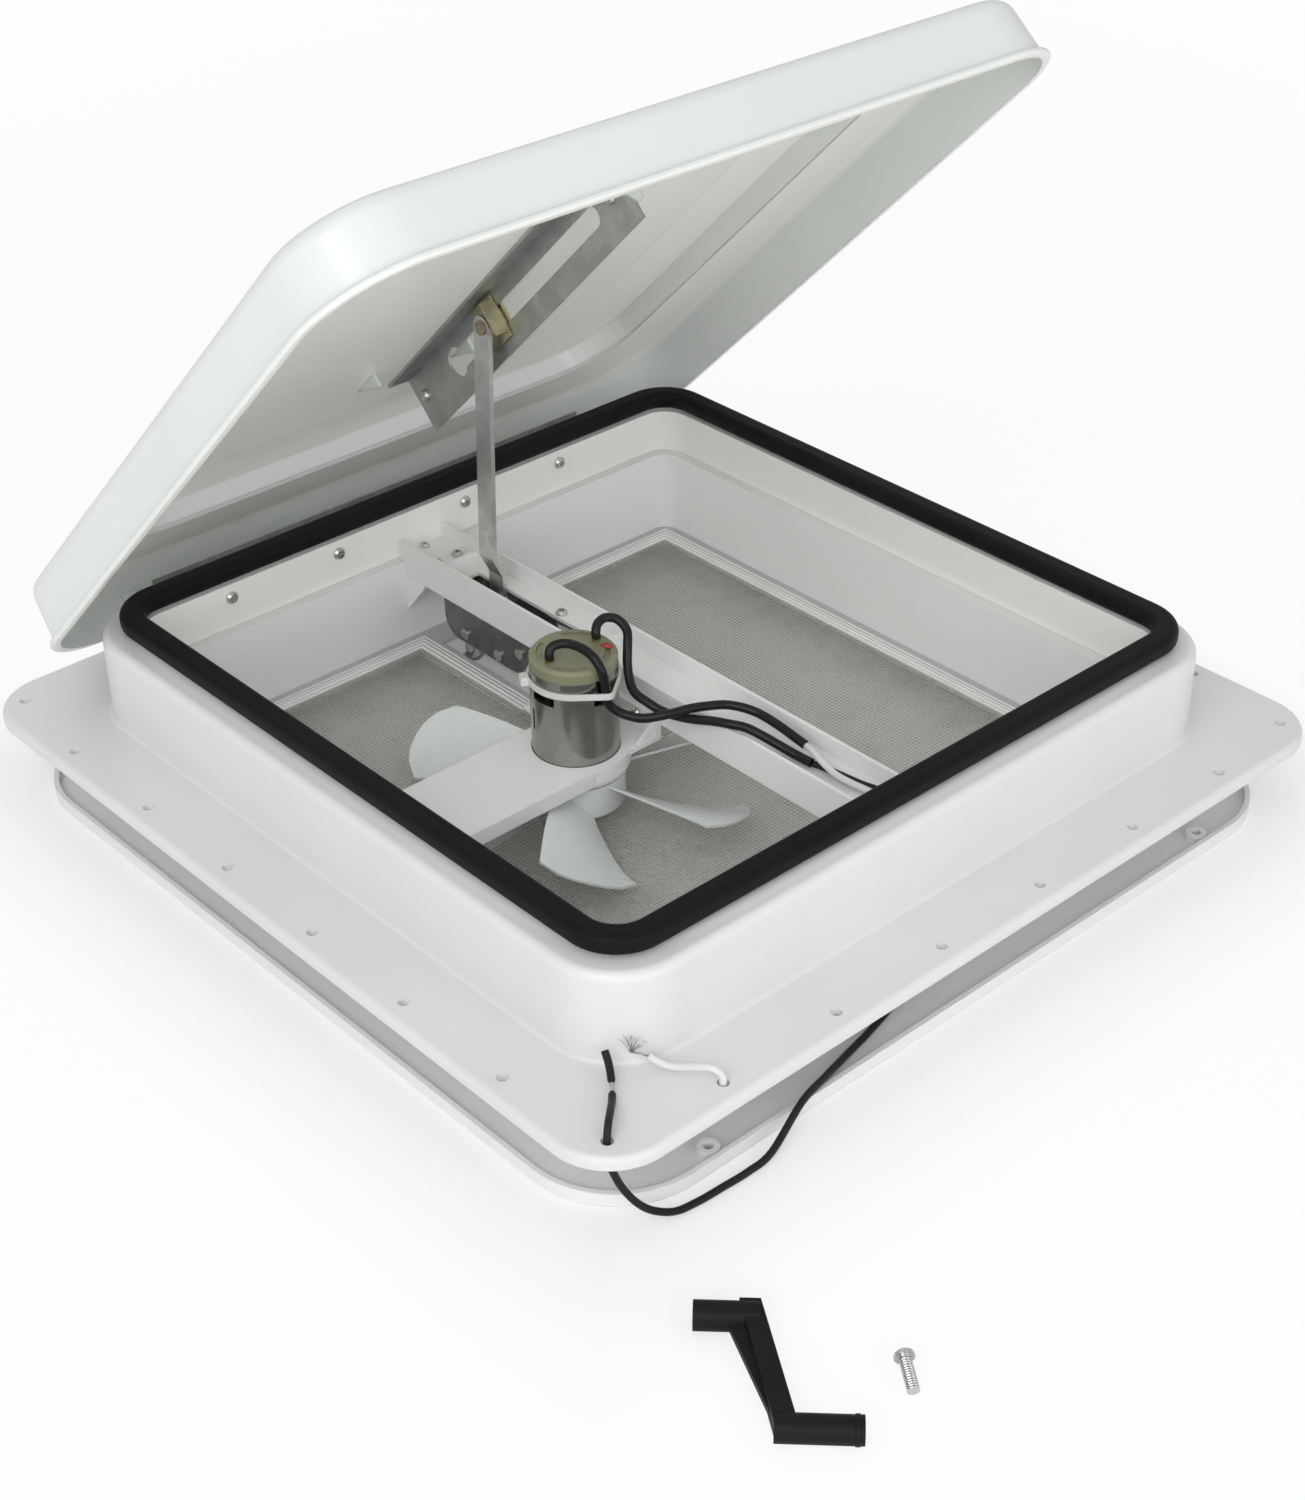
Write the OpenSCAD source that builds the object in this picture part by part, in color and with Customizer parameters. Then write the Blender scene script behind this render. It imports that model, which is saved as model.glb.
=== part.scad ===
// Caravan roof vent with a crank-lifted lid and a small extraction fan.
// Millimetres. The origin is the middle of the screw flange, on its upper face.
// +Z points up out of the roof, +Y towards the lid's hinge, and the lid is drawn open.

/* [Screw flange] */
// Width of the flange beyond the upstand's walls
flange_w = 36.9; // [33:0.1:42]
// Corner radius of the flange
flange_r = 29; // [20:1:36]
// Thickness of the flange
flange_t = 3.5; // [2.5:0.1:5]
// How far the flange's edge turns down below its underside
flange_lip = 2.4; // [1.5:0.1:3]
// Radius of the flange's rounded edge
flange_edge_r = 2.8; // [2:0.1:3]
// From the flange's edge to the first screw hole of a side
hole_end = 71; // [66:0.5:76]
// Inset of the side rows of holes from the flange's edge
hole_inset = 10; // [8:0.5:13]
// Inset of the four corner holes from the flange's edge
corner_inset = 15.8; // [14:0.2:20]
// Diameter of the screw holes
hole_d = 5; // [4:0.1:6]

/* [Upstand and throat] */
// Half the width over the upstand's outer walls
wall_half = 191.6; // [172:0.1:212]
// Corner radius of the upstand's outer walls
wall_r = 34.6; // [32:0.1:38]
// Height of the upstand above the flange
wall_h = 44; // [42:0.5:44.5]
// Wall thickness of the moulding
wall_t = 2.7; // [2:0.1:3]
// Radius of the upstand's rounded shoulder
shoulder_r = 4; // [3:0.1:5]
// Width of the upstand's top, from outer wall to inner wall
shoulder_w = 20.3; // [19:0.1:22]
// Width of the inner ledge that carries the cross channel
ledge_w = 4.8; // [4.2:0.1:5.4]
// Height of that ledge
ledge_z = 20.3; // [19:0.1:22]
// Depth of the throat below the flange's upper face
throat_drop = 25; // [20:0.5:30]

/* [Gasket] */
// Width of the bulb seal
gasket_w = 12; // [10:0.2:13]
// Height of the bulb seal
gasket_h = 9.5; // [8:0.1:9.6]
// Gap between the upstand's top and the seal
gasket_lift = 1.3; // [0.5:0.1:1.4]
// Height of the lip that the seal is pushed on
lip_h = 6.3; // [4:0.1:7]
// Thickness of that lip
lip_t = 2; // [1.5:0.1:2.5]

/* [Lid] */
// Angle that the lid is drawn open
open_angle = 45; // [40:0.5:45]
// How far the lid's sides stand out from the upstand at the rim
lid_side_out = 11; // [9:0.1:12]
// How far the lid's front stands out from the upstand at the rim
lid_front_out = 4.8; // [4.6:0.1:8]
// How far the lid's hinge side stands out from the upstand at the rim
lid_back_out = 12.7; // [12:0.1:14]
// Corner radius of the lid at the rim
lid_r = 42; // [38:1:48]
// Depth of the lid's sides from shoulder to rim
lid_depth = 32.9; // [30:0.1:34]
// How far the sides lean in from rim to shoulder
lid_draft = 2.4; // [2:0.1:2.6]
// Thickness of the lid
lid_t = 2.4; // [2:0.1:2.6]
// Radius of the edge between sides and shoulder
lid_edge_r = 8; // [6:0.1:9]
// Width of the bead round the rim
rim_bead = 2.5; // [2:0.1:3]
// From the lid's side to the foot of the raised middle
plateau_in = 42.4; // [40:0.1:46]
// Height of the step at the raised middle's edge
plateau_step = 10.5; // [8:0.1:11]
// Further rise from the step to the flat centre
plateau_rise = 2.5; // [2:0.1:4]
// From the foot of the raised middle to its flat centre
plateau_slope = 38; // [32:0.5:42]

/* [Hinge] */
// Thickness of the steel leaves
leaf_t = 1.2; // [1:0.1:1.5]
// Length of the straight wall that the hinge leaves free
leaf_free = 43; // [30:0.5:60]
// Shift of the hinge along the wall
leaf_shift = -11.5; // [-14:0.5:0]
// Height of the hinge pin above the flange
hinge_z = 5; // [4.6:0.1:6]
// Radius of the hinge pin
hinge_pin_r = 2; // [1.8:0.1:2.2]
// Outer radius of the hinge knuckles
knuckle_r = 3.8; // [3.6:0.1:3.9]
// Top edge of the base leaf
leaf_top = 50; // [46:0.5:51]
// Height of the hinge screws
hinge_screw_z = 37; // [32:0.5:38]
// Spacing of the two inner hinge screws
hinge_screw_in = 81; // [70:1:90]
// From the hinge's ends to its outer screws
hinge_screw_end = 30.5; // [26:0.5:36]

/* [Lift gear] */
// Arm pivot, distance in front of the hinge pin
pivot_back = 85.4; // [84.4:0.1:86.4]
// Arm pivot, height
pivot_z = 13; // [12.5:0.1:13.5]
// Radius of the arm pivot pin
pivot_r = 3; // [2.5:0.1:3.5]
// Slider pin with the lid open, distance in front of the hinge pin
pin_back = 91.6; // [91:0.1:92.3]
// Slider pin with the lid open, height
pin_z = 166.8; // [166:0.1:167.5]
// Radius of the slider pin
pin_r = 3; // [2.5:0.1:3.5]
// Width of the lift arm
arm_w = 11; // [10:0.2:12]
// Thickness of the lift arm
arm_t = 2.4; // [2:0.1:2.6]
// Sideways joggle of the lift arm
arm_joggle = 6; // [5:0.1:6.4]
// Teeth of the whole circle that the arm's sector is part of
sector_teeth = 34; // [34:1:35]
// Module of the sector and worm
tooth_m = 1; // [0.98:0.01:1.01]
// Pitch radius of the worm
worm_r = 6; // [5.8:0.1:6.2]
// Radius of the crank spindle
spindle_r = 4; // [3.8:0.1:4.2]
// Lower end of the crank spindle
spindle_end = -42; // [-42.5:0.1:-38]
// Length of the spindle's end that the handle's socket takes
crank_len = 10; // [8:0.5:11]

/* [Lift rail] */
// Thickness of the rail's steel
rail_t = 1.5; // [1.2:0.1:1.8]
// Depth of the slotted web below the slot's centre line
rail_drop = 16.7; // [14:0.1:18]
// Width of the slot
slot_w = 10; // [9.5:0.1:11]
// Width of the rail's fixing flange
rail_flange = 12; // [10:0.5:16]
// Length of the rail
rail_len = 220; // [200:1:232]

/* [Cross channel] */
// Half the width over the channel's walls
channel_half = 15; // [14.5:0.1:16.5]
// Lower edge of the channel's walls
channel_bottom = 12; // [11.5:0.1:13]
// Upper edge of the channel's walls
channel_top = 31; // [28:0.5:31.5]
// Thickness of the channel's walls and floor
channel_t = 2; // [1.6:0.1:2.2]

/* [Fan and motor] */
// Fan axis, sideways from the middle
fan_x = -49; // [-52:0.5:-48.5]
// Fan axis, towards the hinge
fan_y = -6; // [-9:0.5:-5]
// Upper face of the motor mount
mount_z = 7; // [6.5:0.1:7.2]
// Radius of the motor
motor_r = 20.5; // [19:0.1:21]
// Height of the motor's steel can
can_h = 44; // [42:0.5:44.5]
// Height of the motor's end cap
cap_h = 6; // [5.5:0.1:6.2]
// Radius of the fan
fan_r = 86; // [70:1:87]
// Radius of the fan's hub
hub_r = 23; // [20:0.5:24]
// Number of fan blades
blades = 6; // [4:1:7]
// Radius of the motor's shaft
shaft_r = 1.6; // [1.4:0.1:1.9]

/* [Screen and garnish] */
// How far the garnish ring stands out from the upstand's walls
garnish_w = 27.2; // [25:0.1:31]
// Corner radius of the garnish ring
garnish_r = 45; // [40:1:48]
// Upper face of the garnish's plate
garnish_z = -41; // [-46:0.5:-40]
// Thickness of the garnish
garnish_t = 2.5; // [2:0.1:3]
// Height of the garnish's outer lip above its plate
garnish_lip = 3.8; // [3:0.1:5]
// Thickness of the screen's frame
screen_t = 2.5; // [2:0.1:3]
// Width of the screen's frame
screen_bar = 17; // [14:0.5:18]
// Inset of the garnish screws from the ring's sides
boss_in_x = 60.8; // [56:0.2:68]
// Inset of the garnish screws from the ring's front and back
boss_in_y = 8.3; // [8:0.1:11]

/* [Crank handle] */
// Throw of the crank handle
crank_throw = 52; // [45:1:60]
// Length of the handle's grip
grip_len = 25; // [22:1:30]
// Length of the handle's socket
socket_len = 32; // [26:1:34]
// Radius of grip and socket
grip_r = 5.8; // [5.5:0.1:6.5]

/* [Hidden] */
$fn = 48;

// Fits: a shaft that turns, a piece that is pushed on, a gap that only clears, and a cutter's overshoot
run_gap = 0.05;
push_gap = 0.02;
clear_gap = 0.3;
over = 1;

// Corner centre that the upstand, gasket, collar and screen share, and what follows from the walls
corner_c = wall_half - wall_r;
flange_half = wall_half + flange_w;
hole_row = flange_half - hole_inset;
hole_pitch = (flange_half - hole_end) / 2.5;
corner_at = flange_half - corner_inset;
inner_half = wall_half - shoulder_w;
throat_half = inner_half - ledge_w;
root_r = 2;
gasket_z = wall_h + gasket_lift;
gasket_top = gasket_z + gasket_h;
seal_half = (wall_half - shoulder_r + inner_half) / 2 - 3;

// Lid, worked out with the lid closed on the gasket
seal_gap = 0.4;
lid_half = wall_half + lid_side_out;
lid_front = wall_half + lid_front_out;
lid_back = wall_half + lid_back_out;
shoulder_z = gasket_top + seal_gap + lid_t;
rim_z = shoulder_z - lid_depth;
lid_cx = lid_half - lid_r;
lid_cy = (lid_front + lid_back) / 2 - lid_r;
lid_mid = (lid_back - lid_front) / 2;
lean = atan2(lid_draft, lid_depth);
edge_x = lid_r - (lid_depth - lid_edge_r) * tan(lean) - lid_edge_r / cos(lean);
centre_top = shoulder_z + plateau_step + plateau_rise;
centre_under = centre_top - lid_t;
plateau_half = lid_half - plateau_in;
plateau_flat = plateau_half - plateau_slope;
plateau_r = 34;
shoulder_lap = 8;
bead_h = 3;

// Hinge axis: the base leaf lies on the wall and curls outwards into its knuckles
hinge_y = wall_half + knuckle_r;
lid_knuckle_r = knuckle_r - clear_gap;
knuckles = 7;
leaf_len = 2 * corner_c - leaf_free;
hinge_screw_out = leaf_len - 2 * hinge_screw_end;
knuckle_len = leaf_len / knuckles;
knuckle_gap = 0.4;
hinge_screw_r = 1.9;
hinge_screw_x = [-hinge_screw_out / 2, -hinge_screw_in / 2, hinge_screw_in / 2, hinge_screw_out / 2];
rivet_r = 1.6;
rivet_z = 36;
rivet_x = [for (i = [0:3]) leaf_shift + (2 * i - 3) * knuckle_len * 0.62];

// Slider pin in the closed lid's frame: along the slot and above the hinge
pivot_y = hinge_y - pivot_back;
pin_y = hinge_y - pin_back;
slot_z = hinge_z + (pin_y - hinge_y) * sin(open_angle) + (pin_z - hinge_z) * cos(open_angle);
slot_pin_y = hinge_y + (pin_y - hinge_y) * cos(open_angle) - (pin_z - hinge_z) * sin(open_angle);
arm_len = norm([pin_y - pivot_y, pin_z - pivot_z]);
arm_tilt = atan2(pivot_y - pin_y, pin_z - pivot_z);
rail_x = 0.5;
rail_back = pin_y;
rail_end = rail_back - rail_len;
rail_cut = 18;
key_y = rail_back - 46;
key_r = 7.4;
slot_end = rail_end + 30;
rail_boss = 8;
rail_screw_y = [rail_back - rail_boss, rail_end + 12];
gusset_y = [rail_back - 18, rail_end + 24];
gusset_x = [-34, 24];

// Worm and sector
pitch_r = sector_teeth * tooth_m / 2;
lead = PI * tooth_m;
sector_tip = pitch_r + tooth_m;
sector_root = pitch_r - 1.2 * tooth_m;
worm_tip = worm_r + 0.9 * tooth_m;
worm_root = worm_r - 1.3 * tooth_m;
worm_y = pivot_y + pitch_r + worm_r;
worm_len = 13;
worm_z = pivot_z - 7.6;
worm_bore = 3.1;

// Operator plates under the channel's floor
plate_x = 9.3;
plate_t = 1.2;
plate_low = -12;
plate_front = pivot_y - 34;
plate_rear = worm_y + 8;
plate_top = ledge_z;
rivet_at = [[worm_y - 9, -6.4], [pivot_y - 12, -7.5], [plate_front + 5, 1]];
bush_half = 5.4;
bush_z = [[plate_low, 5], [-1.5, 5.5]];
floor_top = ledge_z + channel_t;
rear_screw_y = worm_y + 17.5;
floor_screws = [[6.6, pivot_y - 41.5], [6.6, rear_screw_y], [-6.6, rear_screw_y], [-6.2, pivot_y - 67]];
channel_ribs = [rear_screw_y - 8.5, pivot_y - 80];
slot_front = pivot_y - 62;
slot_rear = pivot_y + sector_tip + 1;
end_screw_y = throat_half + 2.4;
end_screw_len = 6;

// Fan and motor stack, from the mount downwards and upwards
cap_z = mount_z + can_h;
cap_top = cap_z + cap_h;
mount_t = 3;
boss_low = -4;
tie_z = mount_z + can_h - 7.5;
tie_h = 3;
hub_top = boss_low - 1;
hub_h = 16;
terminal_x = 14;
terminal_h = 1;

// Garnish, screen and the floor that the vent stands on
garnish_half = wall_half + garnish_w;
boss_x = garnish_half - boss_in_x;
boss_y = garnish_half - boss_in_y;
floor_z = garnish_z - garnish_t;
collar_half = throat_half + wall_t + 2.5;
screen_half = collar_half - 1.5;
screen_top = -throat_drop;
shelf_top = screen_top - screen_t;
shelf_t = 2;
mesh_half = screen_half - screen_bar;
mesh_t = 0.6;
mesh_r = 3;
mesh_cells = 10;
mesh_bar = 4;
notch = [6, pivot_y - 48, worm_y + 19];
notch_bar = 12;

// Leads: sleeved motor leads held by the vent, thinner supply leads from the sleeves' ends
sleeve_r = 2.2;
wire_r = 1.6;
wire_z = floor_top + wire_r + 0.1;
white_x = 4.2;
black_x = 9;
lead_start = cap_top + terminal_h + 0.45;
route_half = 171.3;
function moved(list, by) = [for (p = list) p + by];
function stretched(list) = [for (p = list) [p[0], p[1] * inner_half / route_half, p[2]]];

// Left lead: up from its terminal, over the cap, down under the tie, then across into the channel
left_motor = [[-14, 0, 0], [-14, 0.2, 2.6], [-11.8, 0.6, 5.2], [-7, -2.2, 6.3], [-4.2, -9, 6.3], [-3.3, -16, 5],
    [-3, -20.6, 2], [-2.3, -23, -3.2], [-1.4, -23.2, -9.2], [-0.6, -23.1, -12.5], [-0.2, -23.1, -17.8],
    [2.4, -25.5, -22.5], [6.4, -31, -25]];
left_far = [[-38.6, -43, 33.4], [-31.4, -50, 35.6], [-21.6, -54.4, 36.5], [-13.9, -58, 36.2], [-7.2, -62.3, 35.9],
    [-2.4, -68.4, 35.2], [0.9, -74.6, 33.9], [2.4, -81.6, 32.6], [3.4, -89.4, 30.9], [3.9, -96.6, 29.3],
    [4.4, -101.9, 28.1]];
lead_left_route = concat(moved(left_motor, [fan_x, fan_y, lead_start]), stretched(left_far));

// Right lead: up from its terminal, down between motor and channel, then under the left one into the channel
right_motor = [[14, 0, 0], [14, 0.3, 2.6], [16.6, 1.8, 5.4], [21.6, 2, 6.4], [25.8, -1.4, 5.2], [26.4, -7, 1.7],
    [23.2, -11, -3.8], [20.8, -13.4, -9.8], [18.6, -16.9, -15.8], [16.8, -22.5, -20.5]];
right_far = [[-31, -35.6, 35.4], [-28.6, -42, 32.8], [-24.6, -49, 31.2], [-21.2, -57, 31.7], [-18, -65.6, 33.4],
    [-14.8, -73, 33.9], [-11, -79.6, 33.4], [-7.6, -86.6, 31], [-4.8, -93.6, 28.4], [-2.6, -100.2, 26.3],
    [-1.1, -106, 25.2], [-0.4, -111, 24.8]];
lead_right_route = concat(moved(right_motor, [fan_x, fan_y, lead_start]), stretched(right_far));

// White lead: along the channel, through the front wall, along under the flange and up through a screw hole
white_in = [[4.45, -102.7, 27.92], [3, -108.4, 28], [0.3, -117, 27.7], [-0.6, -126.5, 26.1], [0.6, -135, 25.2],
    [2.6, -142.7, 24.3]];
white_wall = [[white_x, 36.6, wire_z], [white_x, 23.6, wire_z], [white_x, 15.6, wire_z], [white_x, 10.6, 23.2],
    [4.1, 7, 19.6], [3.6, 5.6, 14], [2.5, 5.6, 7], [0, 5.6, 0], [-6, 4.1, -6.5], [-20, -0.9, -9.8]];
white_run = [[107.5, 15.5, -11], [67.5, 6.5, -12], [32.5, 1.5, -12.3], [13, 0.1, -11], [3, 0, -7.4], [0, 0, -1.4],
    [-0.1, 0.5, 3], [-2.4, 4.2, 6.1], [-6.2, 11, 4.6], [-10.1, 18, 2.6], [-12.9, 23.1, 3.4], [-15, 26.7, 5.6]];
white_route = concat(stretched(white_in), moved(white_wall, [0, -wall_half, 0]),
    moved(white_run, [-2.5 * hole_pitch, -hole_row, 0]));

// Black lead: along the channel, through the front wall, over the garnish and up through the corner hole
black_in = [[-0.28, -111.7, 24.7], [1.6, -116, 24.3], [2.9, -125.3, 24.2], [4.6, -136, wire_z], [6.6, -144, wire_z]];
black_wall = [[black_x, 35.6, wire_z], [black_x, 23.6, wire_z], [black_x, 15.6, wire_z], [black_x, 10.6, 23.2],
    [8.9, 7, 19.6], [8.2, 5.6, 13], [6.5, 5.6, 5], [3.5, 5.4, -4], [-3, 4.3, -14], [-13, 1.6, -25],
    [-24, -2.9, -34]];
black_lie = [[182.8, 20.3, 1.9], [160.6, 14, 1.9], [141.8, 9.4, 2.7], [122, 3.1, 5.9], [103.8, -1.6, 6.3],
    [78.3, -10.2, 1], [64.8, -10.6, -0.7], [51.8, -10, -0.8], [38.8, -9.2, -0.8], [27.1, -7.4, 0.2], [16.8, -3.2, 6]];
black_corner = [[4.2, -4.3, -25], [0.7, -0.8, -13], [0, 0, -5], [0.1, 0.1, 2], [2.7, 2.3, 5.6], [8.7, 7.9, 4.6],
    [15.2, 14.3, 2.4], [20.7, 20.7, 3], [24.7, 26.7, 6.2], [26.5, 31.1, 9.6]];
black_route = concat(stretched(black_in), moved(black_wall, [0, -wall_half, 0]),
    moved(black_lie, [-garnish_half, -garnish_half, garnish_z]), moved(black_corner, [-corner_at, -corner_at, 0]));

// Crank handle lying on the floor, drawn in its own axes and turned
handle_turn = -45;
grip_at = [34, -(flange_half - flange_r) * sqrt(2) - flange_r - 41];
crank_lean = 10;

// Cord sweep: a smooth curve through the route's points, and rings that turn with it
function cubic(a, b, c, d, t) = 0.5 * ((2 * b) + (c - a) * t + (2 * a - 5 * b + 4 * c - d) * t * t
    + (3 * b - a - 3 * c + d) * t * t * t);
function smooth(p, n) = let (m = len(p) - 1) concat([for (i = [0:m - 1], j = [0:n - 1])
    cubic(p[max(i - 1, 0)], p[i], p[i + 1], p[min(i + 2, m)], j / n)], [p[m]]);
function unit(v) = v / norm(v);
function along(p, i) = unit(p[min(i + 1, len(p) - 1)] - p[max(i - 1, 0)]);
function across(v, t) = unit(v - (v * t) * t);
function normals(p, i, v) = i >= len(p) ? [] :
    let (u = across(v, along(p, i))) concat([u], normals(p, i + 1, u));
function ring(c, u, w, r, sides) = [for (k = [0:sides - 1]) c + r * (cos(360 * k / sides) * u
    + sin(360 * k / sides) * w)];

// A round tube along a route, closed at both ends
module cord(route, r, steps, sides = 8) {
    p = smooth(route, steps);
    start = abs(along(p, 0)[2]) > 0.9 ? [1, 0, 0] : [0, 0, 1];
    u = normals(p, 0, start);
    last = len(p) - 1;
    pts = [for (i = [0:last]) each ring(p[i], u[i], cross(along(p, i), u[i]), r, sides)];
    sides_a = [for (i = [0:last - 1], k = [0:sides - 1]) [i * sides + k, (i + 1) * sides + k,
        i * sides + (k + 1) % sides]];
    sides_b = [for (i = [0:last - 1], k = [0:sides - 1]) [i * sides + (k + 1) % sides,
        (i + 1) * sides + k, (i + 1) * sides + (k + 1) % sides]];
    cap_a = [for (k = [1:sides - 2]) [0, k, k + 1]];
    cap_b = [for (k = [1:sides - 2]) [last * sides, last * sides + k + 1, last * sides + k]];
    polyhedron(points = pts, faces = concat(sides_a, sides_b, cap_a, cap_b), convexity = 10);
}

// Flat rectangle with round corners
module round_rect(hx, hy, r) {
    square([2 * hx, 2 * (hy - r)], center = true);
    square([2 * (hx - r), 2 * hy], center = true);
    for (x = [-1, 1], y = [-1, 1]) translate([x * (hx - r), y * (hy - r)]) circle(r);
}

// Flat frame between two round-cornered rectangles
module round_frame(half, r, width) {
    difference() {
        round_rect(half, half, r);
        round_rect(half - width, half - width, max(r - width, 1));
    }
}

// A profile carried round a rectangle with round corners; its x is measured from the corner centres
module carried(cx, cy) {
    for (s = [0:3]) rotate(90 * s) {
        side = s % 2 == 0 ? cy : cx;
        out = s % 2 == 0 ? cx : cy;
        translate([out, side, 0]) rotate([90, 0, 0]) linear_extrude(height = 2 * side) children();
        translate([out, side, 0]) rotate_extrude(angle = 90) children();
    }
}

// A flat outline in Y and Z given a thickness along X
module plate_yz(x, t) {
    translate([x, 0, 0]) rotate([90, 0, 90]) linear_extrude(height = t) children();
}

// A rod along X
module rod_x(x0, x1, r) {
    translate([x0, 0, 0]) rotate([0, 90, 0]) cylinder(h = x1 - x0, r = r);
}

// A rod along Y
module rod_y(y0, y1, r) {
    translate([0, y0, 0]) rotate([-90, 0, 0]) cylinder(h = y1 - y0, r = r);
}

// What is drawn with the lid closed, turned open about the hinge
module opened() {
    translate([0, hinge_y, hinge_z]) rotate([-open_angle, 0, 0]) translate([0, -hinge_y, -hinge_z]) children();
}

// Pan-head screw with its head up and its seat at the origin
module pan_screw(head_r, head_h, r, length) {
    translate([0, 0, -length]) cylinder(h = length, r = r);
    difference() {
        union() {
            cylinder(h = head_h * 0.5, r = head_r);
            translate([0, 0, head_h * 0.5]) cylinder(h = head_h * 0.5, r1 = head_r, r2 = head_r * 0.7);
        }
        for (a = [0, 90]) rotate(a) translate([0, 0, head_h]) cube([head_r, 0.8, head_h], center = true);
    }
}

// Base frame

module base_profile() {
    inner = inner_half - corner_c;
    throat = throat_half - corner_c;
    seal = seal_half - corner_c;
    translate([wall_r - wall_t, -flange_t]) square([wall_t, wall_h + flange_t - shoulder_r]);
    translate([wall_r - shoulder_r, wall_h - shoulder_r]) intersection() {
        difference() {
            circle(shoulder_r);
            circle(shoulder_r - wall_t);
        }
        square(shoulder_r);
    }
    translate([inner, wall_h - wall_t]) square([wall_r - shoulder_r - inner, wall_t]);
    translate([inner, ledge_z - wall_t]) square([wall_t, wall_h - ledge_z + wall_t]);
    translate([throat, ledge_z - wall_t]) square([inner - throat + wall_t, wall_t]);
    translate([throat, -throat_drop]) square([wall_t, throat_drop + ledge_z]);
    translate([seal - lip_t / 2, wall_h - wall_t]) square([lip_t, lip_h + wall_t]);
    difference() {
        translate([wall_r - over, 0]) square([root_r + over, root_r]);
        translate([wall_r + root_r, root_r]) circle(root_r);
    }
}

// Rounded edge of the flange and the lip under it
module flange_rim() {
    translate([flange_r - flange_edge_r, -flange_edge_r]) intersection() {
        circle(flange_edge_r);
        square(flange_edge_r);
    }
    translate([flange_r - flange_edge_r, -flange_t - flange_lip])
        square([flange_edge_r, flange_t + flange_lip - flange_edge_r]);
}

module flange_holes() {
    for (s = [0:3]) rotate(90 * s) for (i = [-2.5:1:2.5])
        translate([hole_row, i * hole_pitch, -flange_t - over]) cylinder(h = flange_t + 2 * over, d = hole_d);
    for (x = [-1, 1], y = [-1, 1])
        translate([x * corner_at, y * corner_at, -flange_t - over]) cylinder(h = flange_t + 2 * over, d = hole_d);
}

// Gussets under the channel's ends, on the hinge and front walls
module channel_gussets() {
    reach = 15;
    drop = 20;
    for (turn = [0, 180], x = [-1, 1]) rotate(turn)
        translate([x * (channel_half - channel_t / 2) - channel_t / 2, throat_half, channel_bottom])
            plate_yz(0, channel_t) polygon([[over, 0], [-reach, 0], [-reach, -2], [0, -drop], [over, -drop]]);
}

module base_frame() {
    color("white") difference() {
        union() {
            translate([0, 0, -flange_t]) linear_extrude(height = flange_t) difference() {
                round_rect(flange_half - flange_edge_r, flange_half - flange_edge_r, flange_r - flange_edge_r);
                round_rect(wall_half - wall_t, wall_half - wall_t, wall_r - wall_t);
            }
            carried(flange_half - flange_r, flange_half - flange_r) flange_rim();
            carried(corner_c, corner_c) base_profile();
            channel_gussets();
        }
        flange_holes();
        for (x = hinge_screw_x) translate([x + leaf_shift, 0, hinge_screw_z])
            rod_y(inner_half - over, wall_half + over, hinge_screw_r + run_gap);
        for (x = [white_x, black_x]) translate([x, 0, wire_z])
            rod_y(-inner_half - wall_t - over, -inner_half + over, wire_r + clear_gap);
        for (y = [-1, 1]) translate([0, y * end_screw_y, ledge_z - end_screw_len])
            cylinder(h = end_screw_len + over, r = 1.6 + push_gap);
    }
}

// Lid seal

module gasket_profile() {
    r = 3.6;
    seal = seal_half - corner_c;
    difference() {
        translate([seal, gasket_z + gasket_h / 2]) round_rect(gasket_w / 2, gasket_h / 2, r);
        translate([seal - lip_t / 2 - push_gap, gasket_z - over])
            square([lip_t + 2 * push_gap, lip_h - gasket_lift + over + push_gap]);
    }
}

module gasket() {
    color([0.07, 0.07, 0.07]) carried(corner_c, corner_c) gasket_profile();
}

// Hinge

module knuckle(i, r) {
    x0 = leaf_shift - leaf_len / 2 + i * knuckle_len + (i == 0 ? 0 : knuckle_gap / 2);
    x1 = leaf_shift - leaf_len / 2 + (i + 1) * knuckle_len - (i == knuckles - 1 ? 0 : knuckle_gap / 2);
    translate([0, hinge_y, hinge_z]) rod_x(x0, x1, r);
}

module hinge_bore(gap) {
    translate([0, hinge_y, hinge_z]) rod_x(leaf_shift - leaf_len / 2 - over, leaf_shift + leaf_len / 2 + over,
        hinge_pin_r + gap);
}

// Room for the other leaf's knuckles
module knuckle_room(first) {
    for (i = [first:2:knuckles - 1]) translate([0, hinge_y, hinge_z])
        rod_x(leaf_shift - leaf_len / 2 + i * knuckle_len - knuckle_gap / 2,
            leaf_shift - leaf_len / 2 + (i + 1) * knuckle_len + knuckle_gap / 2, knuckle_r + clear_gap);
}

module base_leaf() {
    color([0.66, 0.69, 0.68]) difference() {
        union() {
            difference() {
                translate([leaf_shift - leaf_len / 2, wall_half, hinge_z])
                    cube([leaf_len, leaf_t, leaf_top - hinge_z]);
                knuckle_room(1);
            }
            for (i = [0:2:knuckles - 1]) knuckle(i, knuckle_r);
        }
        hinge_bore(push_gap);
        for (x = hinge_screw_x) translate([x + leaf_shift, 0, hinge_screw_z])
            rod_y(wall_half - over, wall_half + leaf_t + over, hinge_screw_r + run_gap);
    }
}

module hinge_pin() {
    color([0.7, 0.7, 0.7]) translate([0, hinge_y, hinge_z])
        rod_x(leaf_shift - leaf_len / 2 - 1, leaf_shift + leaf_len / 2 + 1, hinge_pin_r);
}

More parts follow.
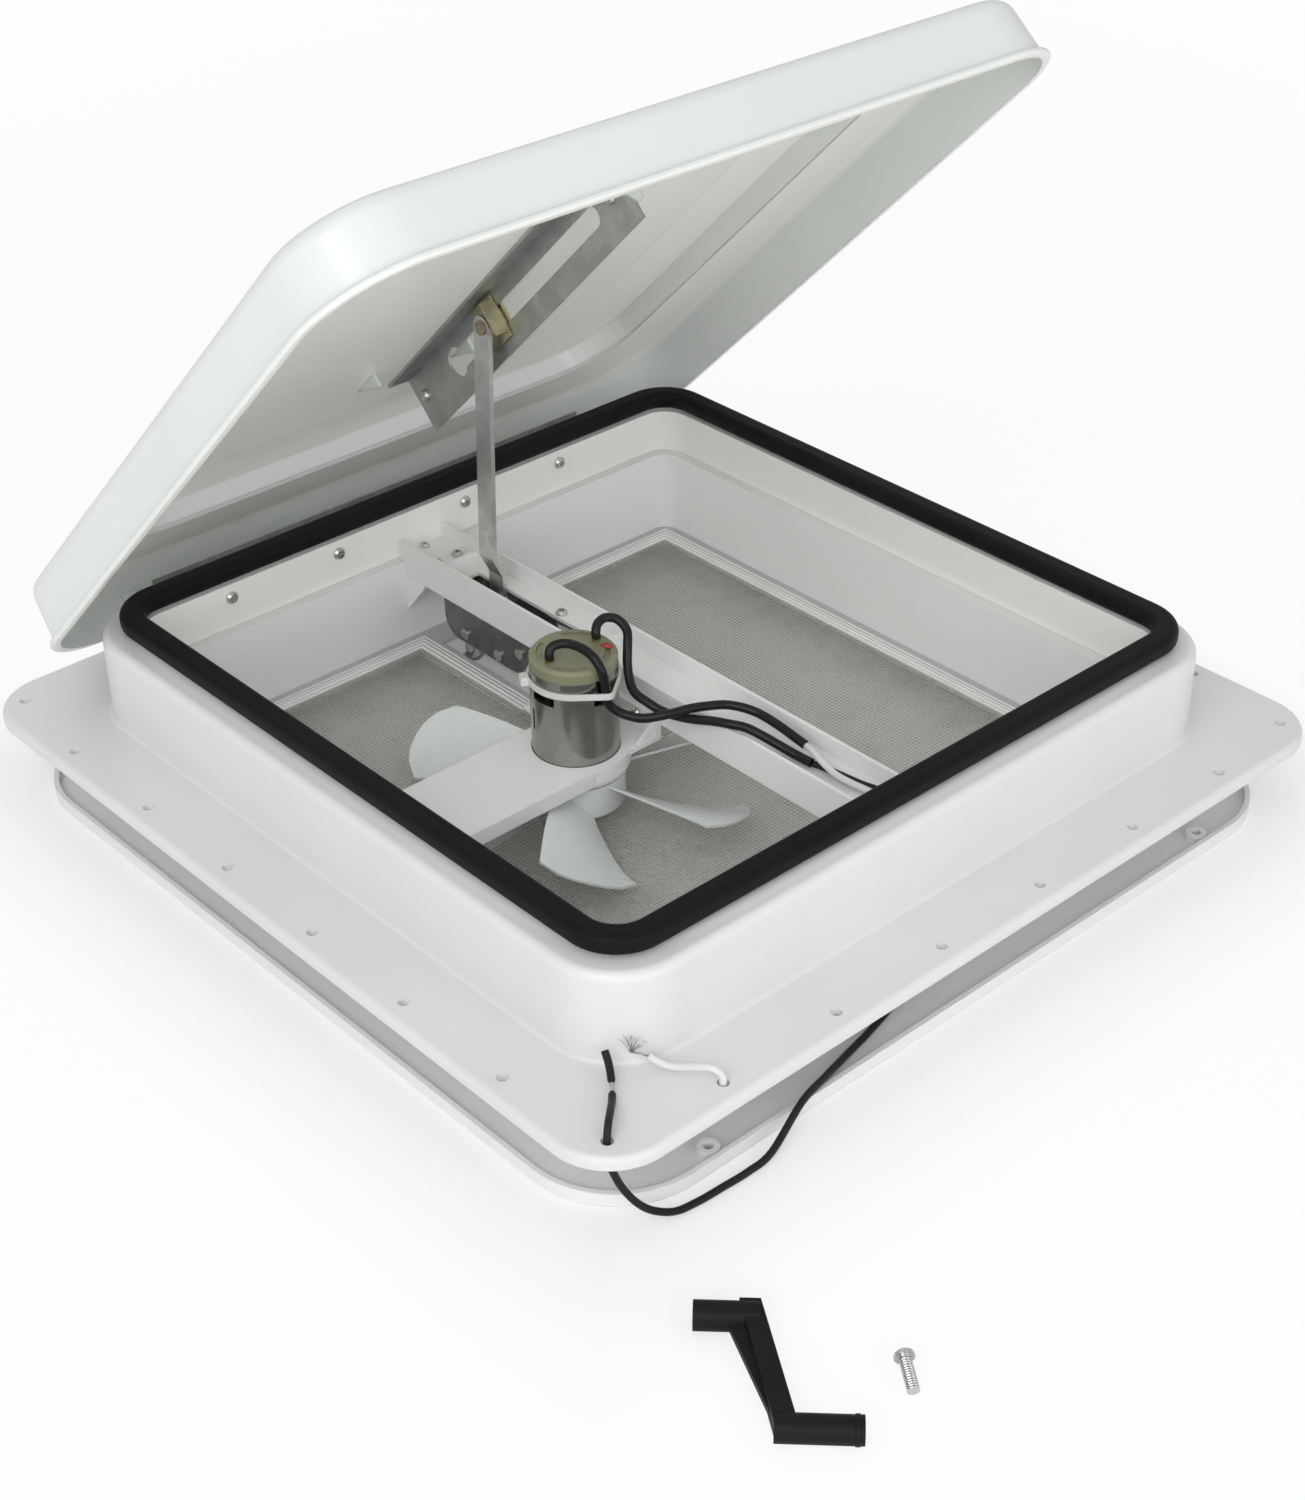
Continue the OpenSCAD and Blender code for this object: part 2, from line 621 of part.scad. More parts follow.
module hinge_screws() {
    color([0.75, 0.75, 0.74]) for (x = hinge_screw_x)
        translate([x + leaf_shift, inner_half, hinge_screw_z]) rotate([90, 0, 0])
            pan_screw(3.2, 2.2, hinge_screw_r, wall_half + leaf_t - inner_half + 0.8);
}

// Inner face of the lid's hinge side at a height, lid closed
function lid_back_in(z) = lid_back - (z - rim_z) * tan(lean) - lid_t / cos(lean);

module lid_leaf_profile() {
    low = 27;
    high = 42;
    polygon([[hinge_y + lid_knuckle_r - leaf_t, hinge_z], [hinge_y + lid_knuckle_r, hinge_z],
        [lid_back_in(low), low], [lid_back_in(high), high], [lid_back_in(high) - leaf_t, high],
        [lid_back_in(low) - leaf_t, low]]);
}

module rivet_holes(r) {
    for (x = rivet_x) translate([x, 0, rivet_z]) rod_y(wall_half + leaf_t + 2, lid_back + rim_bead, r);
}

module lid_leaf() {
    color([0.66, 0.69, 0.68]) opened() difference() {
        union() {
            difference() {
                plate_yz(leaf_shift - leaf_len / 2, leaf_len) lid_leaf_profile();
                knuckle_room(0);
            }
            for (i = [1:2:knuckles - 1]) knuckle(i, lid_knuckle_r);
        }
        hinge_bore(run_gap);
        rivet_holes(rivet_r + push_gap);
    }
}

module lid_rivets() {
    head = 1;
    inside = lid_back_in(rivet_z) - leaf_t;
    outside = lid_back - (rivet_z - rim_z) * tan(lean);
    color([0.75, 0.75, 0.74]) opened() for (x = rivet_x) translate([x, 0, rivet_z]) {
        rod_y(inside - head, outside + head, rivet_r);
        rod_y(outside + head - 0.5, outside + head + 0.5, rivet_r * 1.8);
        rod_y(inside - head - 0.5, inside - head + 0.4, rivet_r * 1.8);
    }
}

// Lid

module lid_profile() {
    edge_z = shoulder_z - lid_edge_r;
    wall = [cos(lean), sin(lean)];
    foot = [edge_x, edge_z] + lid_edge_r * wall;
    polygon([[lid_r, rim_z], foot, foot - lid_t * wall, [lid_r - lid_t / cos(lean), rim_z]]);
    translate([edge_x, edge_z]) intersection() {
        difference() {
            circle(lid_edge_r);
            circle(lid_edge_r - lid_t);
        }
        polygon([[0, 0], 2 * lid_edge_r * [cos(lean - 3), sin(lean - 3)], [2 * lid_edge_r, 2 * lid_edge_r],
            [0, 2 * lid_edge_r]]);
    }
    translate([edge_x - shoulder_lap, shoulder_z - lid_t]) square([shoulder_lap, lid_t]);
    translate([lid_r - 1, rim_z]) square([rim_bead + 1 - bead_h / 2, bead_h]);
    translate([lid_r + rim_bead - bead_h / 2, rim_z + bead_h / 2]) circle(bead_h / 2);
}

// One level of the raised middle
module plateau_level(half, r, z) {
    translate([0, lid_mid, z]) linear_extrude(height = 0.1) round_rect(half, half + lid_cy - lid_cx, r, $fn = 32);
}

// The raised middle, or with a drop and an inset the hollow under it
module plateau(foot_z, drop, inset) {
    hull() {
        plateau_level(plateau_half - inset, plateau_r, foot_z);
        plateau_level(plateau_half - 5 - inset, plateau_r, shoulder_z + plateau_step - 0.1 - drop);
        plateau_level(plateau_flat - inset, plateau_r, centre_top - 0.1 - drop);
    }
}

// Flat shoulder between the sides' edge and the raised middle
module lid_shoulder() {
    hole = plateau_half - lid_t / 2;
    translate([0, lid_mid, shoulder_z - lid_t]) linear_extrude(height = lid_t) difference() {
        round_rect(lid_cx + edge_x - shoulder_lap / 2, lid_cy + edge_x - shoulder_lap / 2, edge_x - shoulder_lap / 2);
        round_rect(hole, hole + lid_cy - lid_cx, plateau_r);
    }
}

// Posts beside the rail's web that its screws bite in
module rail_posts() {
    for (y = rail_screw_y) translate([rail_x + rail_t, y - rail_boss, slot_z - 7])
        cube([rail_boss, 2 * rail_boss, centre_under - slot_z + 7 + lid_t / 2]);
}

// Triangular gussets on the lid's underside, either side of the rail
module lid_gussets() {
    for (y = gusset_y, x = gusset_x) translate([0, y, centre_under])
        plate_yz(x, channel_t) polygon([[-10, lid_t / 2], [10, lid_t / 2], [10, 0], [-10, -7]]);
}

module lid() {
    color([0.95, 0.96, 0.95]) opened() difference() {
        union() {
            translate([0, lid_mid, 0]) carried(lid_cx, lid_cy) lid_profile();
            lid_shoulder();
            difference() {
                plateau(shoulder_z - lid_t / 2, 0, 0);
                plateau(shoulder_z - lid_t - over, lid_t, lid_t);
            }
            rail_posts();
            lid_gussets();
        }
        for (y = rail_screw_y) translate([0, y, slot_z]) rod_x(rail_x, rail_x + rail_t + rail_boss - 1, 1.5);
        rivet_holes(rivet_r + push_gap);
    }
}

// Lift rail and slider

module rail_outline() {
    difference() {
        polygon([[rail_back, slot_z - rail_drop], [rail_back, centre_under], [rail_end + rail_cut, centre_under],
            [rail_end, slot_z - rail_drop + 8], [rail_end, slot_z - rail_drop]]);
        translate([slot_end, slot_z - slot_w / 2]) square([key_y - slot_end, slot_w]);
        translate([slot_end, slot_z]) circle(slot_w / 2);
        translate([key_y, slot_z]) circle(key_r);
        for (y = rail_screw_y) translate([y, slot_z]) circle(1.7);
    }
}

module lift_rail() {
    color([0.62, 0.63, 0.62]) opened() {
        plate_yz(rail_x, rail_t) rail_outline();
        translate([rail_x - rail_flange, 0, centre_under - rail_t]) linear_extrude(height = rail_t)
            polygon([[0, rail_back], [rail_flange, rail_back], [rail_flange, rail_end + rail_cut],
                [0, rail_end + rail_cut + rail_flange]]);
    }
}

module rail_screws() {
    color([0.78, 0.78, 0.77]) opened() for (y = rail_screw_y) translate([rail_x, y, slot_z])
        rotate([0, -90, 0]) pan_screw(3.1, 2.2, 1.5, rail_boss);
}

// The slider keeps a gap to the slot, because the arm's pin strays a little from the slot's middle line
slider_gap = 0.9;
slider_len = 19;
slider_h = 22;
slider_tail = 17;
arm_x = -arm_joggle - arm_t / 2;

module slider_plate(x0, x1, hy, hz) {
    plate_yz(x0, x1 - x0) translate([slot_pin_y, slot_z]) round_rect(hy, hz, 0.8);
}

module slider() {
    side = 0.25;
    sheet = 1.6;
    tail = slot_pin_y - slider_len / 2;
    near = rail_x - side;
    far = rail_x + rail_t + side;
    color([0.78, 0.68, 0.42]) opened() difference() {
        union() {
            slider_plate(near - sheet, near, slider_len / 2, slider_h / 2);
            translate([0, slot_pin_y, slot_z]) rod_x(arm_x + arm_t + side, near, pin_r + 2.4);
            translate([arm_x - 0.6, tail, slot_z - slider_tail / 2]) cube([near - arm_x + 0.6, sheet, slider_tail]);
            slider_plate(near - 0.01, far + 0.01, slider_len / 2 - 2, slot_w / 2 - slider_gap);
            slider_plate(far, far + sheet, slider_len / 2, slider_h / 2);
        }
        translate([0, slot_pin_y, slot_z]) rod_x(arm_x - 9, 20, pin_r + push_gap);
    }
}

module slider_pin() {
    color([0.72, 0.6, 0.4]) translate([0, pin_y, pin_z]) {
        rod_x(arm_x - 0.6, rail_x + rail_t + 2.6, pin_r);
        rod_x(arm_x - 0.9, arm_x - 0.2, pin_r + 0.6);
        rod_x(rail_x + rail_t + 2.1, rail_x + rail_t + 3.2, pin_r * 1.3);
    }
}

// Lift arm: strip, joggle and toothed sector, one stamping

module arm_frame() {
    translate([0, pivot_y, pivot_z]) rotate([arm_tilt, 0, 0]) children();
}

module arm_strip() {
    bend_low = 18;
    bend_high = 30;
    eye_r = arm_w / 2 + 0.3;
    hub_eye_r = 8.5;
    rod_x(-arm_t / 2, arm_t / 2, hub_eye_r);
    translate([0, arm_w / 2, 0]) rotate([90, 0, 0]) linear_extrude(height = arm_w)
        polygon([[-arm_t / 2, 0], [arm_t / 2, 0], [arm_t / 2, bend_low], [arm_x + arm_t, bend_high],
            [arm_x + arm_t, arm_len], [arm_x, arm_len], [arm_x, bend_high], [-arm_t / 2, bend_low]]);
    translate([0, 0, arm_len]) rod_x(arm_x, arm_x + arm_t, eye_r);
}

// One tooth that points along +X, with its foot in the sector's rim
module sector_tooth() {
    tip = 0.36 * tooth_m;
    foot = 0.86 * tooth_m;
    polygon([[sector_root - 1, -foot], [sector_root, -foot], [sector_tip, -tip], [sector_tip, tip],
        [sector_root, foot], [sector_root - 1, foot]]);
}

module sector() {
    step = 360 / sector_teeth;
    first = -80;
    last = 12;
    spread = 5;
    reach = 2 * sector_tip;
    middle = (first + last) / 2;
    plate_yz(-arm_t / 2, arm_t) translate([pivot_y, pivot_z]) {
        intersection() {
            circle(sector_root);
            polygon([[0, 0], reach * [cos(first - spread), sin(first - spread)],
                reach * [cos(middle), sin(middle)], reach * [cos(last + spread), sin(last + spread)]]);
        }
        for (a = [-step / 2 : -step : first]) rotate(a) sector_tooth();
        for (a = [step / 2 : step : last]) rotate(a) sector_tooth();
    }
}

module lift_arm() {
    color([0.62, 0.64, 0.64]) difference() {
        union() {
            arm_frame() arm_strip();
            sector();
        }
        translate([0, pivot_y, pivot_z]) rod_x(-10, 10, pivot_r + run_gap);
        translate([0, pin_y, pin_z]) rod_x(arm_x - 2, arm_x + arm_t + 2, pin_r + run_gap);
    }
}

// Cross channel

// Slot in the floor that the arm and its sector swing through
module arm_slot() {
    translate([arm_x - 1.4, slot_front, ledge_z - over])
        cube([arm_t + arm_joggle + 3.4, slot_rear - slot_front, channel_t + 2 * over]);
}

module channel_wall() {
    translate([channel_half - channel_t, -inner_half, ledge_z])
        cube([channel_t, 2 * inner_half, channel_top - ledge_z]);
    translate([channel_half - channel_t, -throat_half, channel_bottom])
        cube([channel_t, 2 * throat_half, ledge_z - channel_bottom + 0.1]);
}

module cross_channel() {
    color("white") difference() {
        union() {
            for (s = [0, 180]) rotate(s) channel_wall();
            translate([-channel_half + 0.1, -inner_half, ledge_z])
                cube([2 * channel_half - 0.2, 2 * inner_half, channel_t]);
            for (y = channel_ribs) translate([-channel_half + 0.1, y, ledge_z])
                cube([2 * channel_half - 0.2, channel_t, 5]);
        }
        arm_slot();
        for (p = floor_screws) translate([p[0], p[1], ledge_z - over]) cylinder(h = channel_t + 2 * over, r = 1.7);
        for (y = [-1, 1]) translate([0, y * end_screw_y, ledge_z - over])
            cylinder(h = channel_t + 2 * over, r = 1.7);
    }
}

module channel_screws() {
    color([0.78, 0.78, 0.77]) {
        for (p = floor_screws) translate([p[0], p[1], floor_top]) pan_screw(3, 2, 1.6, channel_t + plate_t + 1.5);
        for (y = [-1, 1]) translate([0, y * end_screw_y, floor_top])
            pan_screw(2.3, 1.8, 1.6, channel_t + end_screw_len - 0.5);
    }
}

// Lift operator under the channel

module operator_outline(front_lug) {
    r = 11;
    difference() {
        union() {
            translate([(plate_front + plate_rear) / 2, (plate_low + plate_top) / 2])
                round_rect((plate_rear - plate_front) / 2, (plate_top - plate_low) / 2, r);
            translate([plate_front, plate_top - 14]) square([plate_rear - plate_front, 14]);
            translate([front_lug - 6, plate_top - 7]) square([floor_screws[1][1] + 12 - front_lug, 7]);
        }
        translate([pivot_y, pivot_z]) circle(pivot_r + push_gap);
        for (p = rivet_at) translate(p) circle(2 + push_gap);
    }
}

// Plate with two lugs turned in under the floor
module operator_plate(front_lug, lug_x) {
    plate_yz(plate_x, plate_t) operator_outline(front_lug);
    for (p = [[lug_x, front_lug], [6.6, floor_screws[1][1]]])
        translate([0, p[1], plate_top - plate_t]) difference() {
            translate([2.6, -6, 0]) cube([plate_x - 2.5, 12, plate_t]);
            translate([p[0], 0, -over]) cylinder(h = plate_t + 2 * over, r = 1.6 + push_gap);
        }
}

module operator_plate_far() {
    color([0.35, 0.36, 0.36]) operator_plate(floor_screws[0][1], floor_screws[0][0]);
}

module operator_plate_near() {
    color([0.35, 0.36, 0.36]) mirror([1, 0, 0]) operator_plate(floor_screws[3][1], -floor_screws[3][0]);
}

module operator_rivets() {
    end = plate_x + plate_t;
    color([0.6, 0.6, 0.6]) for (p = rivet_at) translate([0, p[0], p[1]]) {
        rod_x(-end - 0.6, end + 0.6, 2);
        rod_x(-plate_x, plate_x, 2.4);
        for (s = [0, 180]) rotate([0, 0, s]) rod_x(end, end + 1.2, 3);
    }
}

module pivot_pin() {
    end = plate_x + plate_t;
    color([0.6, 0.6, 0.6]) translate([0, pivot_y, pivot_z]) {
        rod_x(-end - 0.6, end + 0.6, pivot_r);
        for (s = [0, 180]) rotate([0, 0, s]) rod_x(end, end + 1.4, pivot_r + 1.4);
    }
}

module pivot_spacers() {
    side = 0.2;
    color([0.5, 0.5, 0.5]) translate([0, pivot_y, pivot_z]) for (s = [0, 180]) rotate([0, 0, s]) difference() {
        rod_x(arm_t / 2 + side, plate_x, pivot_r + 2);
        rod_x(0, plate_x + over, pivot_r + push_gap);
    }
}

module spindle_bushes() {
    color([0.82, 0.8, 0.72]) for (b = bush_z) difference() {
        translate([-plate_x, worm_y - bush_half, b[0]]) cube([2 * plate_x, 2 * bush_half, b[1]]);
        translate([0, worm_y, b[0] - over]) cylinder(h = b[1] + 2 * over, r = spindle_r + run_gap);
    }
}

// Worm: a round section with one lobe, twisted up the spindle into a right-hand thread
function worm_points() = [for (a = [-92, -64, -37, 0, 37, 64, 92, 128, 164, 196, 232])
    let (k = abs(a) <= 37 ? 1 : abs(a) >= 92 ? 0 : (92 - abs(a)) / 55)
    (worm_root + k * (worm_tip - worm_root)) * [cos(a), sin(a)]];

module worm() {
    turns = worm_len / lead;
    start = -90 - 360 * (pivot_z - worm_z) / lead;
    color([0.72, 0.66, 0.5]) translate([0, worm_y, worm_z]) difference() {
        rotate(start) linear_extrude(height = worm_len, twist = -360 * turns, slices = round(16 * turns),
            segments = 0, $fn = 0) polygon(worm_points());
        translate([0, 0, -over]) cylinder(h = worm_len + 2 * over, r = worm_bore, $fn = 24);
    }
}

module crank_spindle() {
    groove_h = 1;
    neck_z = spindle_end + crank_len;
    color([0.7, 0.7, 0.7]) translate([0, worm_y, 0]) {
        translate([0, 0, spindle_end]) cylinder(h = crank_len, r = spindle_r);
        translate([0, 0, neck_z - 0.5]) cylinder(h = groove_h + 1, r = spindle_r - 0.7);
        translate([0, 0, neck_z + groove_h]) cylinder(h = worm_z - neck_z - groove_h, r = spindle_r);
        translate([0, 0, worm_z - 0.1]) cylinder(h = worm_len + 0.4, r = worm_bore - 0.1);
    }
}

module spindle_clip() {
    color([0.75, 0.75, 0.74]) translate([0, worm_y, plate_low - 1.6]) difference() {
        cylinder(h = 1.2, r = spindle_r + 2.6);
        translate([0, 0, -over]) cylinder(h = 1.2 + 2 * over, r = spindle_r + push_gap);
        translate([-1.5, 0, -over]) cube([3, 20, 1.2 + 2 * over]);
    }
}

// Fan mount, motor and fan

mount_half = 24.5;
mount_skirt = 8;
mount_screw_y = [-9, 9];
mount_rib_y = [-21, 19];
mount_lip = 4;

module at_fan() {
    translate([fan_x, fan_y, 0]) children();
}

module fan_mount() {
    wall_x = -throat_half - fan_x;
    beam_x = -channel_half - fan_x;
    seat_r = motor_r + 5;
    web_half = seat_r - 4;
    lip_h = channel_bottom + 6 - mount_z + mount_t;
    color("white") at_fan() difference() {
        union() {
            translate([wall_x, -mount_half, mount_z - mount_t]) cube([-wall_x, 2 * mount_half, mount_t]);
            for (y = [-mount_half, mount_half - channel_t]) translate([wall_x, y, mount_z - mount_skirt])
                cube([-wall_x - seat_r * 0.4, channel_t, mount_skirt]);
            translate([wall_x, -mount_half, mount_z - mount_skirt]) cube([channel_t, 2 * mount_half, mount_skirt]);
            translate([0, 0, mount_z - mount_skirt]) cylinder(h = mount_skirt, r = seat_r);
            translate([0, 0, boss_low + 1]) cylinder(h = mount_z - boss_low - 1, r = seat_r - 1);
            translate([0, 0, boss_low]) cylinder(h = mount_z - boss_low, r = motor_r);
            translate([0, -web_half, mount_z - mount_t]) cube([beam_x, 2 * web_half, mount_t]);
            translate([beam_x - mount_lip, -web_half, mount_z - mount_t]) cube([mount_lip, 2 * web_half, lip_h]);
            for (y = mount_rib_y) translate([beam_x - mount_lip, y + channel_t, mount_z - 0.1]) rotate([90, 0, 0])
                linear_extrude(height = channel_t) polygon([[-10, 0], [0.1, 0], [0.1, 8]]);
        }
        translate([0, 0, mount_z - 1.2]) cylinder(h = 1.2 + over, r = motor_r + clear_gap);
        translate([0, 0, boss_low - over]) cylinder(h = mount_z - boss_low + 2 * over, r = 5);
        for (y = [-9, 9]) translate([y, 0, boss_low - over]) cylinder(h = mount_z - boss_low + 2 * over, r = 1.6);
        for (y = mount_screw_y) translate([beam_x - 5, y, channel_bottom + 3]) rod_x(0, 6, 1.5);
    }
}

module mount_screws() {
    color([0.78, 0.78, 0.77]) at_fan() for (y = mount_screw_y)
        translate([-channel_half - fan_x - mount_lip, y, channel_bottom + 3]) rotate([0, -90, 0])
            pan_screw(2.8, 2, 1.5, 3.9);
}

module motor_can() {
    seat = mount_z - 1.2;
    neck = 4.6;
    color([0.6, 0.61, 0.6]) at_fan() difference() {
        union() {
            translate([0, 0, seat]) cylinder(h = cap_z - seat, r = motor_r);
            translate([0, 0, seat - 3]) cylinder(h = 3.1, r = neck);
        }
        translate([0, 0, seat - 3 - over]) cylinder(h = 20, r = shaft_r + run_gap);
        translate([0, 0, seat + 14]) cylinder(h = cap_z - seat, r = motor_r - 1.2);
        for (a = [184, 4, 94, 274]) rotate(a) translate([motor_r - 3, -6.5, cap_z - 13]) cube([6, 13, 4.4]);
        for (a = [163, 343]) rotate(a) translate([motor_r - 1.6, -0.8, seat + 15]) cube([6, 1.6, 11]);
    }
}

module motor_cap() {
    color([0.62, 0.6, 0.38]) at_fan() difference() {
        union() {
            translate([0, 0, cap_z]) cylinder(h = cap_h - 1.4, r = motor_r - 0.2);
            translate([0, 0, cap_top - 1.4]) cylinder(h = 1.4, r1 = motor_r - 0.2, r2 = motor_r - 1.6);
            translate([0, 0, cap_z - 4]) cylinder(h = 4.1, r = motor_r - 1.3);
        }
        translate([0, 0, cap_top - 1]) difference() {
            cylinder(h = 2, r = motor_r - 3.4);
            translate([0, 0, -over]) cylinder(h = 4, r = motor_r - 6);
            for (a = [0, 90]) rotate(a) cube([2 * motor_r, 11, 6], center = true);
        }
        translate([0, 0, cap_z - 4 - over]) cylinder(h = 7, r = shaft_r + run_gap);
        for (x = [-1, 1]) translate([x * terminal_x - 2.6, -0.45, cap_top - 3]) cube([5.2, 0.9, 3 + over]);
    }
}

module motor_terminals() {
    color([0.8, 0.72, 0.45]) at_fan() for (x = [-1, 1])
        translate([x * terminal_x - 2.5, -0.4, cap_top - 3]) cube([5, 0.8, 3 + terminal_h]);
}

module motor_shaft() {
    color([0.75, 0.75, 0.75]) at_fan() translate([0, 0, hub_top - hub_h + 2])
        cylinder(h = cap_z + 2 - hub_top + hub_h - 2, r = shaft_r);
}

module zip_tie() {
    lead_at = [-0.4, left_motor[9][1]];
    gap = 0.15;
    thick = 1;
    color([0.93, 0.93, 0.92]) at_fan() translate([0, 0, tie_z]) {
        linear_extrude(height = tie_h) difference() {
            hull() {
                circle(motor_r + gap + thick);
                translate(lead_at) circle(sleeve_r + 0.5 + thick);
            }
            hull() {
                circle(motor_r + gap);
                translate(lead_at) circle(sleeve_r + 0.5);
            }
        }
        rotate(150) translate([motor_r + gap + 0.4, -2.7, -0.6]) cube([4, 5.4, tie_h + 1.2]);
    }
}

// Fan blade sections: chord, pitch and sweep change from hub to tip
stations = 7;
chord_steps = 6;
blade_t = 1.5;
function blade_radius(i) = hub_r - 2.5 + (fan_r - hub_r + 2.5) * i / stations;
function blade_chord(f) = 24 + 24 * pow(f, 0.8);
function blade_pitch(f) = 50 - 26 * f;
function blade_sweep(f) = 8 + 6 * f;
function blade_point(i, j, side) = let (f = i / stations, u = j / chord_steps - 0.5,
    tip = 1 - 0.085 * pow(abs(2 * u), 3) * pow(f, 5),
    r = blade_radius(i) * tip,
    c = blade_chord(f) * u, camber = (0.25 - u * u) * 7 * (0.4 + 0.6 * f),
    along_arc = c * cos(blade_pitch(f)), up = -c * sin(blade_pitch(f)) * 0.8 + camber + side * blade_t / 2,
    a = blade_sweep(f) + 180 * along_arc / (PI * r))
    [r * cos(a), r * sin(a), up];
module blade() {
    n = chord_steps + 1;
    top = [for (i = [0:stations], j = [0:chord_steps]) blade_point(i, j, 1)];
    low = [for (i = [0:stations], j = [0:chord_steps]) blade_point(i, j, -1)];
    m = n * (stations + 1);
    top_faces = [for (i = [0:stations - 1], j = [0:chord_steps - 1]) each
        [[i * n + j, (i + 1) * n + j + 1, (i + 1) * n + j], [i * n + j, i * n + j + 1, (i + 1) * n + j + 1]]];
    low_faces = [for (f = top_faces) [f[0] + m, f[2] + m, f[1] + m]];
    rim = concat([for (j = [0:chord_steps]) j], [for (i = [1:stations]) i * n + chord_steps],
        [for (j = [chord_steps - 1:-1:0]) stations * n + j], [for (i = [stations - 1:-1:1]) i * n]);
    edge = [for (k = [0:len(rim) - 1]) let (a = rim[k], b = rim[(k + 1) % len(rim)]) each
        [[a, b + m, b], [a, a + m, b + m]]];
    polyhedron(points = concat(top, low), faces = concat(top_faces, low_faces, edge), convexity = 4);
}

module fan() {
    first = -141;
    color([0.93, 0.94, 0.93]) at_fan() translate([0, 0, hub_top - hub_h]) difference() {
        union() {
            cylinder(h = hub_h, r = hub_r);
            for (i = [0:blades - 1]) rotate(first + 360 * i / blades) translate([0, 0, hub_h / 2]) blade();
        }
        translate([0, 0, -over]) difference() {
            cylinder(h = hub_h - 3 + over, r = hub_r - 2.4);
            cylinder(h = hub_h, r = 5);
        }
        translate([0, 0, 2]) cylinder(h = hub_h, r = shaft_r + push_gap);
    }
}

// Motor leads

module motor_lead_left() {
    color([0.06, 0.06, 0.06]) cord(lead_left_route, sleeve_r, 2);
}

module motor_lead_right() {
    color([0.06, 0.06, 0.06]) cord(lead_right_route, sleeve_r, 2);
}

// Garnish ring and screen

module garnish_ring() {
    collar_r = wall_r - wall_half + collar_half + garnish_t;
    color([0.92, 0.92, 0.91]) difference() {
        union() {
            translate([0, 0, floor_z]) linear_extrude(height = garnish_t) difference() {
                round_rect(garnish_half, garnish_half, garnish_r);
                round_rect(collar_half, collar_half, collar_r - garnish_t);
            }
            translate([0, 0, floor_z]) linear_extrude(height = garnish_t + garnish_lip)
                round_frame(garnish_half, garnish_r, garnish_t);
            translate([0, 0, floor_z]) linear_extrude(height = screen_top + 1 - floor_z)
                round_frame(collar_half + garnish_t, collar_r, garnish_t);
            translate([0, 0, shelf_top - shelf_t]) linear_extrude(height = shelf_t) {
                round_frame(collar_half + 0.1, collar_r - garnish_t, collar_half - mesh_half - 2);
                translate([-notch[0] - notch_bar, notch[1] - notch_bar])
                    square([2 * (notch[0] + notch_bar), collar_half - notch[1] + notch_bar]);
            }
            for (x = [-1, 1], y = [-1, 1]) translate([x * boss_x, y * boss_y, garnish_z - 0.1])
                cylinder(h = 3.1, r = 5);
        }
        for (x = [-1, 1], y = [-1, 1]) translate([x * boss_x, y * boss_y, floor_z - over])
            cylinder(h = 10, r = 2.2);
        translate([0, worm_y, shelf_top - shelf_t - over]) cylinder(h = shelf_t + 2 * over, r = spindle_r + 1.5);
    }
}

module screen_outline(inset) {
    round_rect(mesh_half - inset, mesh_half - inset, mesh_r);
}

module notch_bars() {
    translate([-notch[0] - notch_bar, notch[1] - notch_bar])
        square([2 * (notch[0] + notch_bar), mesh_half - notch[1] + notch_bar + 1]);
}

module screen_frame() {
    color([0.8, 0.8, 0.79]) translate([0, 0, shelf_top]) linear_extrude(height = screen_t) difference() {
        union() {
            difference() {
                round_rect(screen_half, screen_half, wall_r - wall_half + screen_half);
                screen_outline(0);
            }
            notch_bars();
        }
        translate([-notch[0], notch[1]]) square([2 * notch[0], notch[2] - notch[1]]);
    }
}

module screen_mesh() {
    pitch = 2 * mesh_half / mesh_cells;
    color([0.55, 0.55, 0.54]) translate([0, 0, shelf_top + screen_t / 2]) linear_extrude(height = mesh_t) difference() {
        screen_outline(0);
        notch_bars();
        for (i = [0:mesh_cells - 1], j = [0:mesh_cells - 1])
            translate([i * pitch - mesh_half + mesh_bar / 2, j * pitch - mesh_half + mesh_bar / 2])
                square(pitch - mesh_bar);
    }
}

// Supply leads lying free

module supply_lead_black() {
    color([0.05, 0.05, 0.05]) cord(black_route, wire_r, 2);
}

module supply_lead_white() {
    color([0.9, 0.9, 0.88]) cord(white_route, wire_r, 2);
}

// Crank handle and its screw, lying on the floor

// Bar and rib between grip and socket, in the handle's own axes
module handle_arm() {
    bar = 4.2;
    rib = 1.6;
    foot = crank_lean - 5;
    translate([0, 0, -bar]) linear_extrude(height = 2 * bar)
        polygon([[-8, grip_r - 0.3], [0, grip_r - 0.3], [foot + 8.4, -crank_throw], [foot, -crank_throw]]);
    translate([0, 0, -rib]) linear_extrude(height = 2 * rib)
        polygon([[-12, -grip_r + 1], [-5, -grip_r + 1], [foot + 1, -crank_throw], [foot - 0.5, -crank_throw + 3]]);
}

module crank_handle() {
    grip_end = grip_at[0] + grip_len;
    socket_x = crank_lean - 5;
    color([0.06, 0.06, 0.06]) rotate(handle_turn) translate([grip_end, grip_at[1], floor_z + grip_r]) difference() {
        union() {
            rod_x(-grip_len, 0, grip_r);
            translate([socket_x, -crank_throw, 0]) rod_x(0, socket_len, grip_r - 0.3);
            translate([socket_x, -crank_throw, 0]) rod_x(socket_len - 3.4, socket_len - 1.6, grip_r);
            handle_arm();
        }
        translate([socket_x, -crank_throw, 0]) rod_x(socket_len - 20, socket_len + over, spindle_r + run_gap);
        translate([socket_x + socket_len - 8, -crank_throw, -20]) cylinder(h = 20, r = 2.5);
    }
}

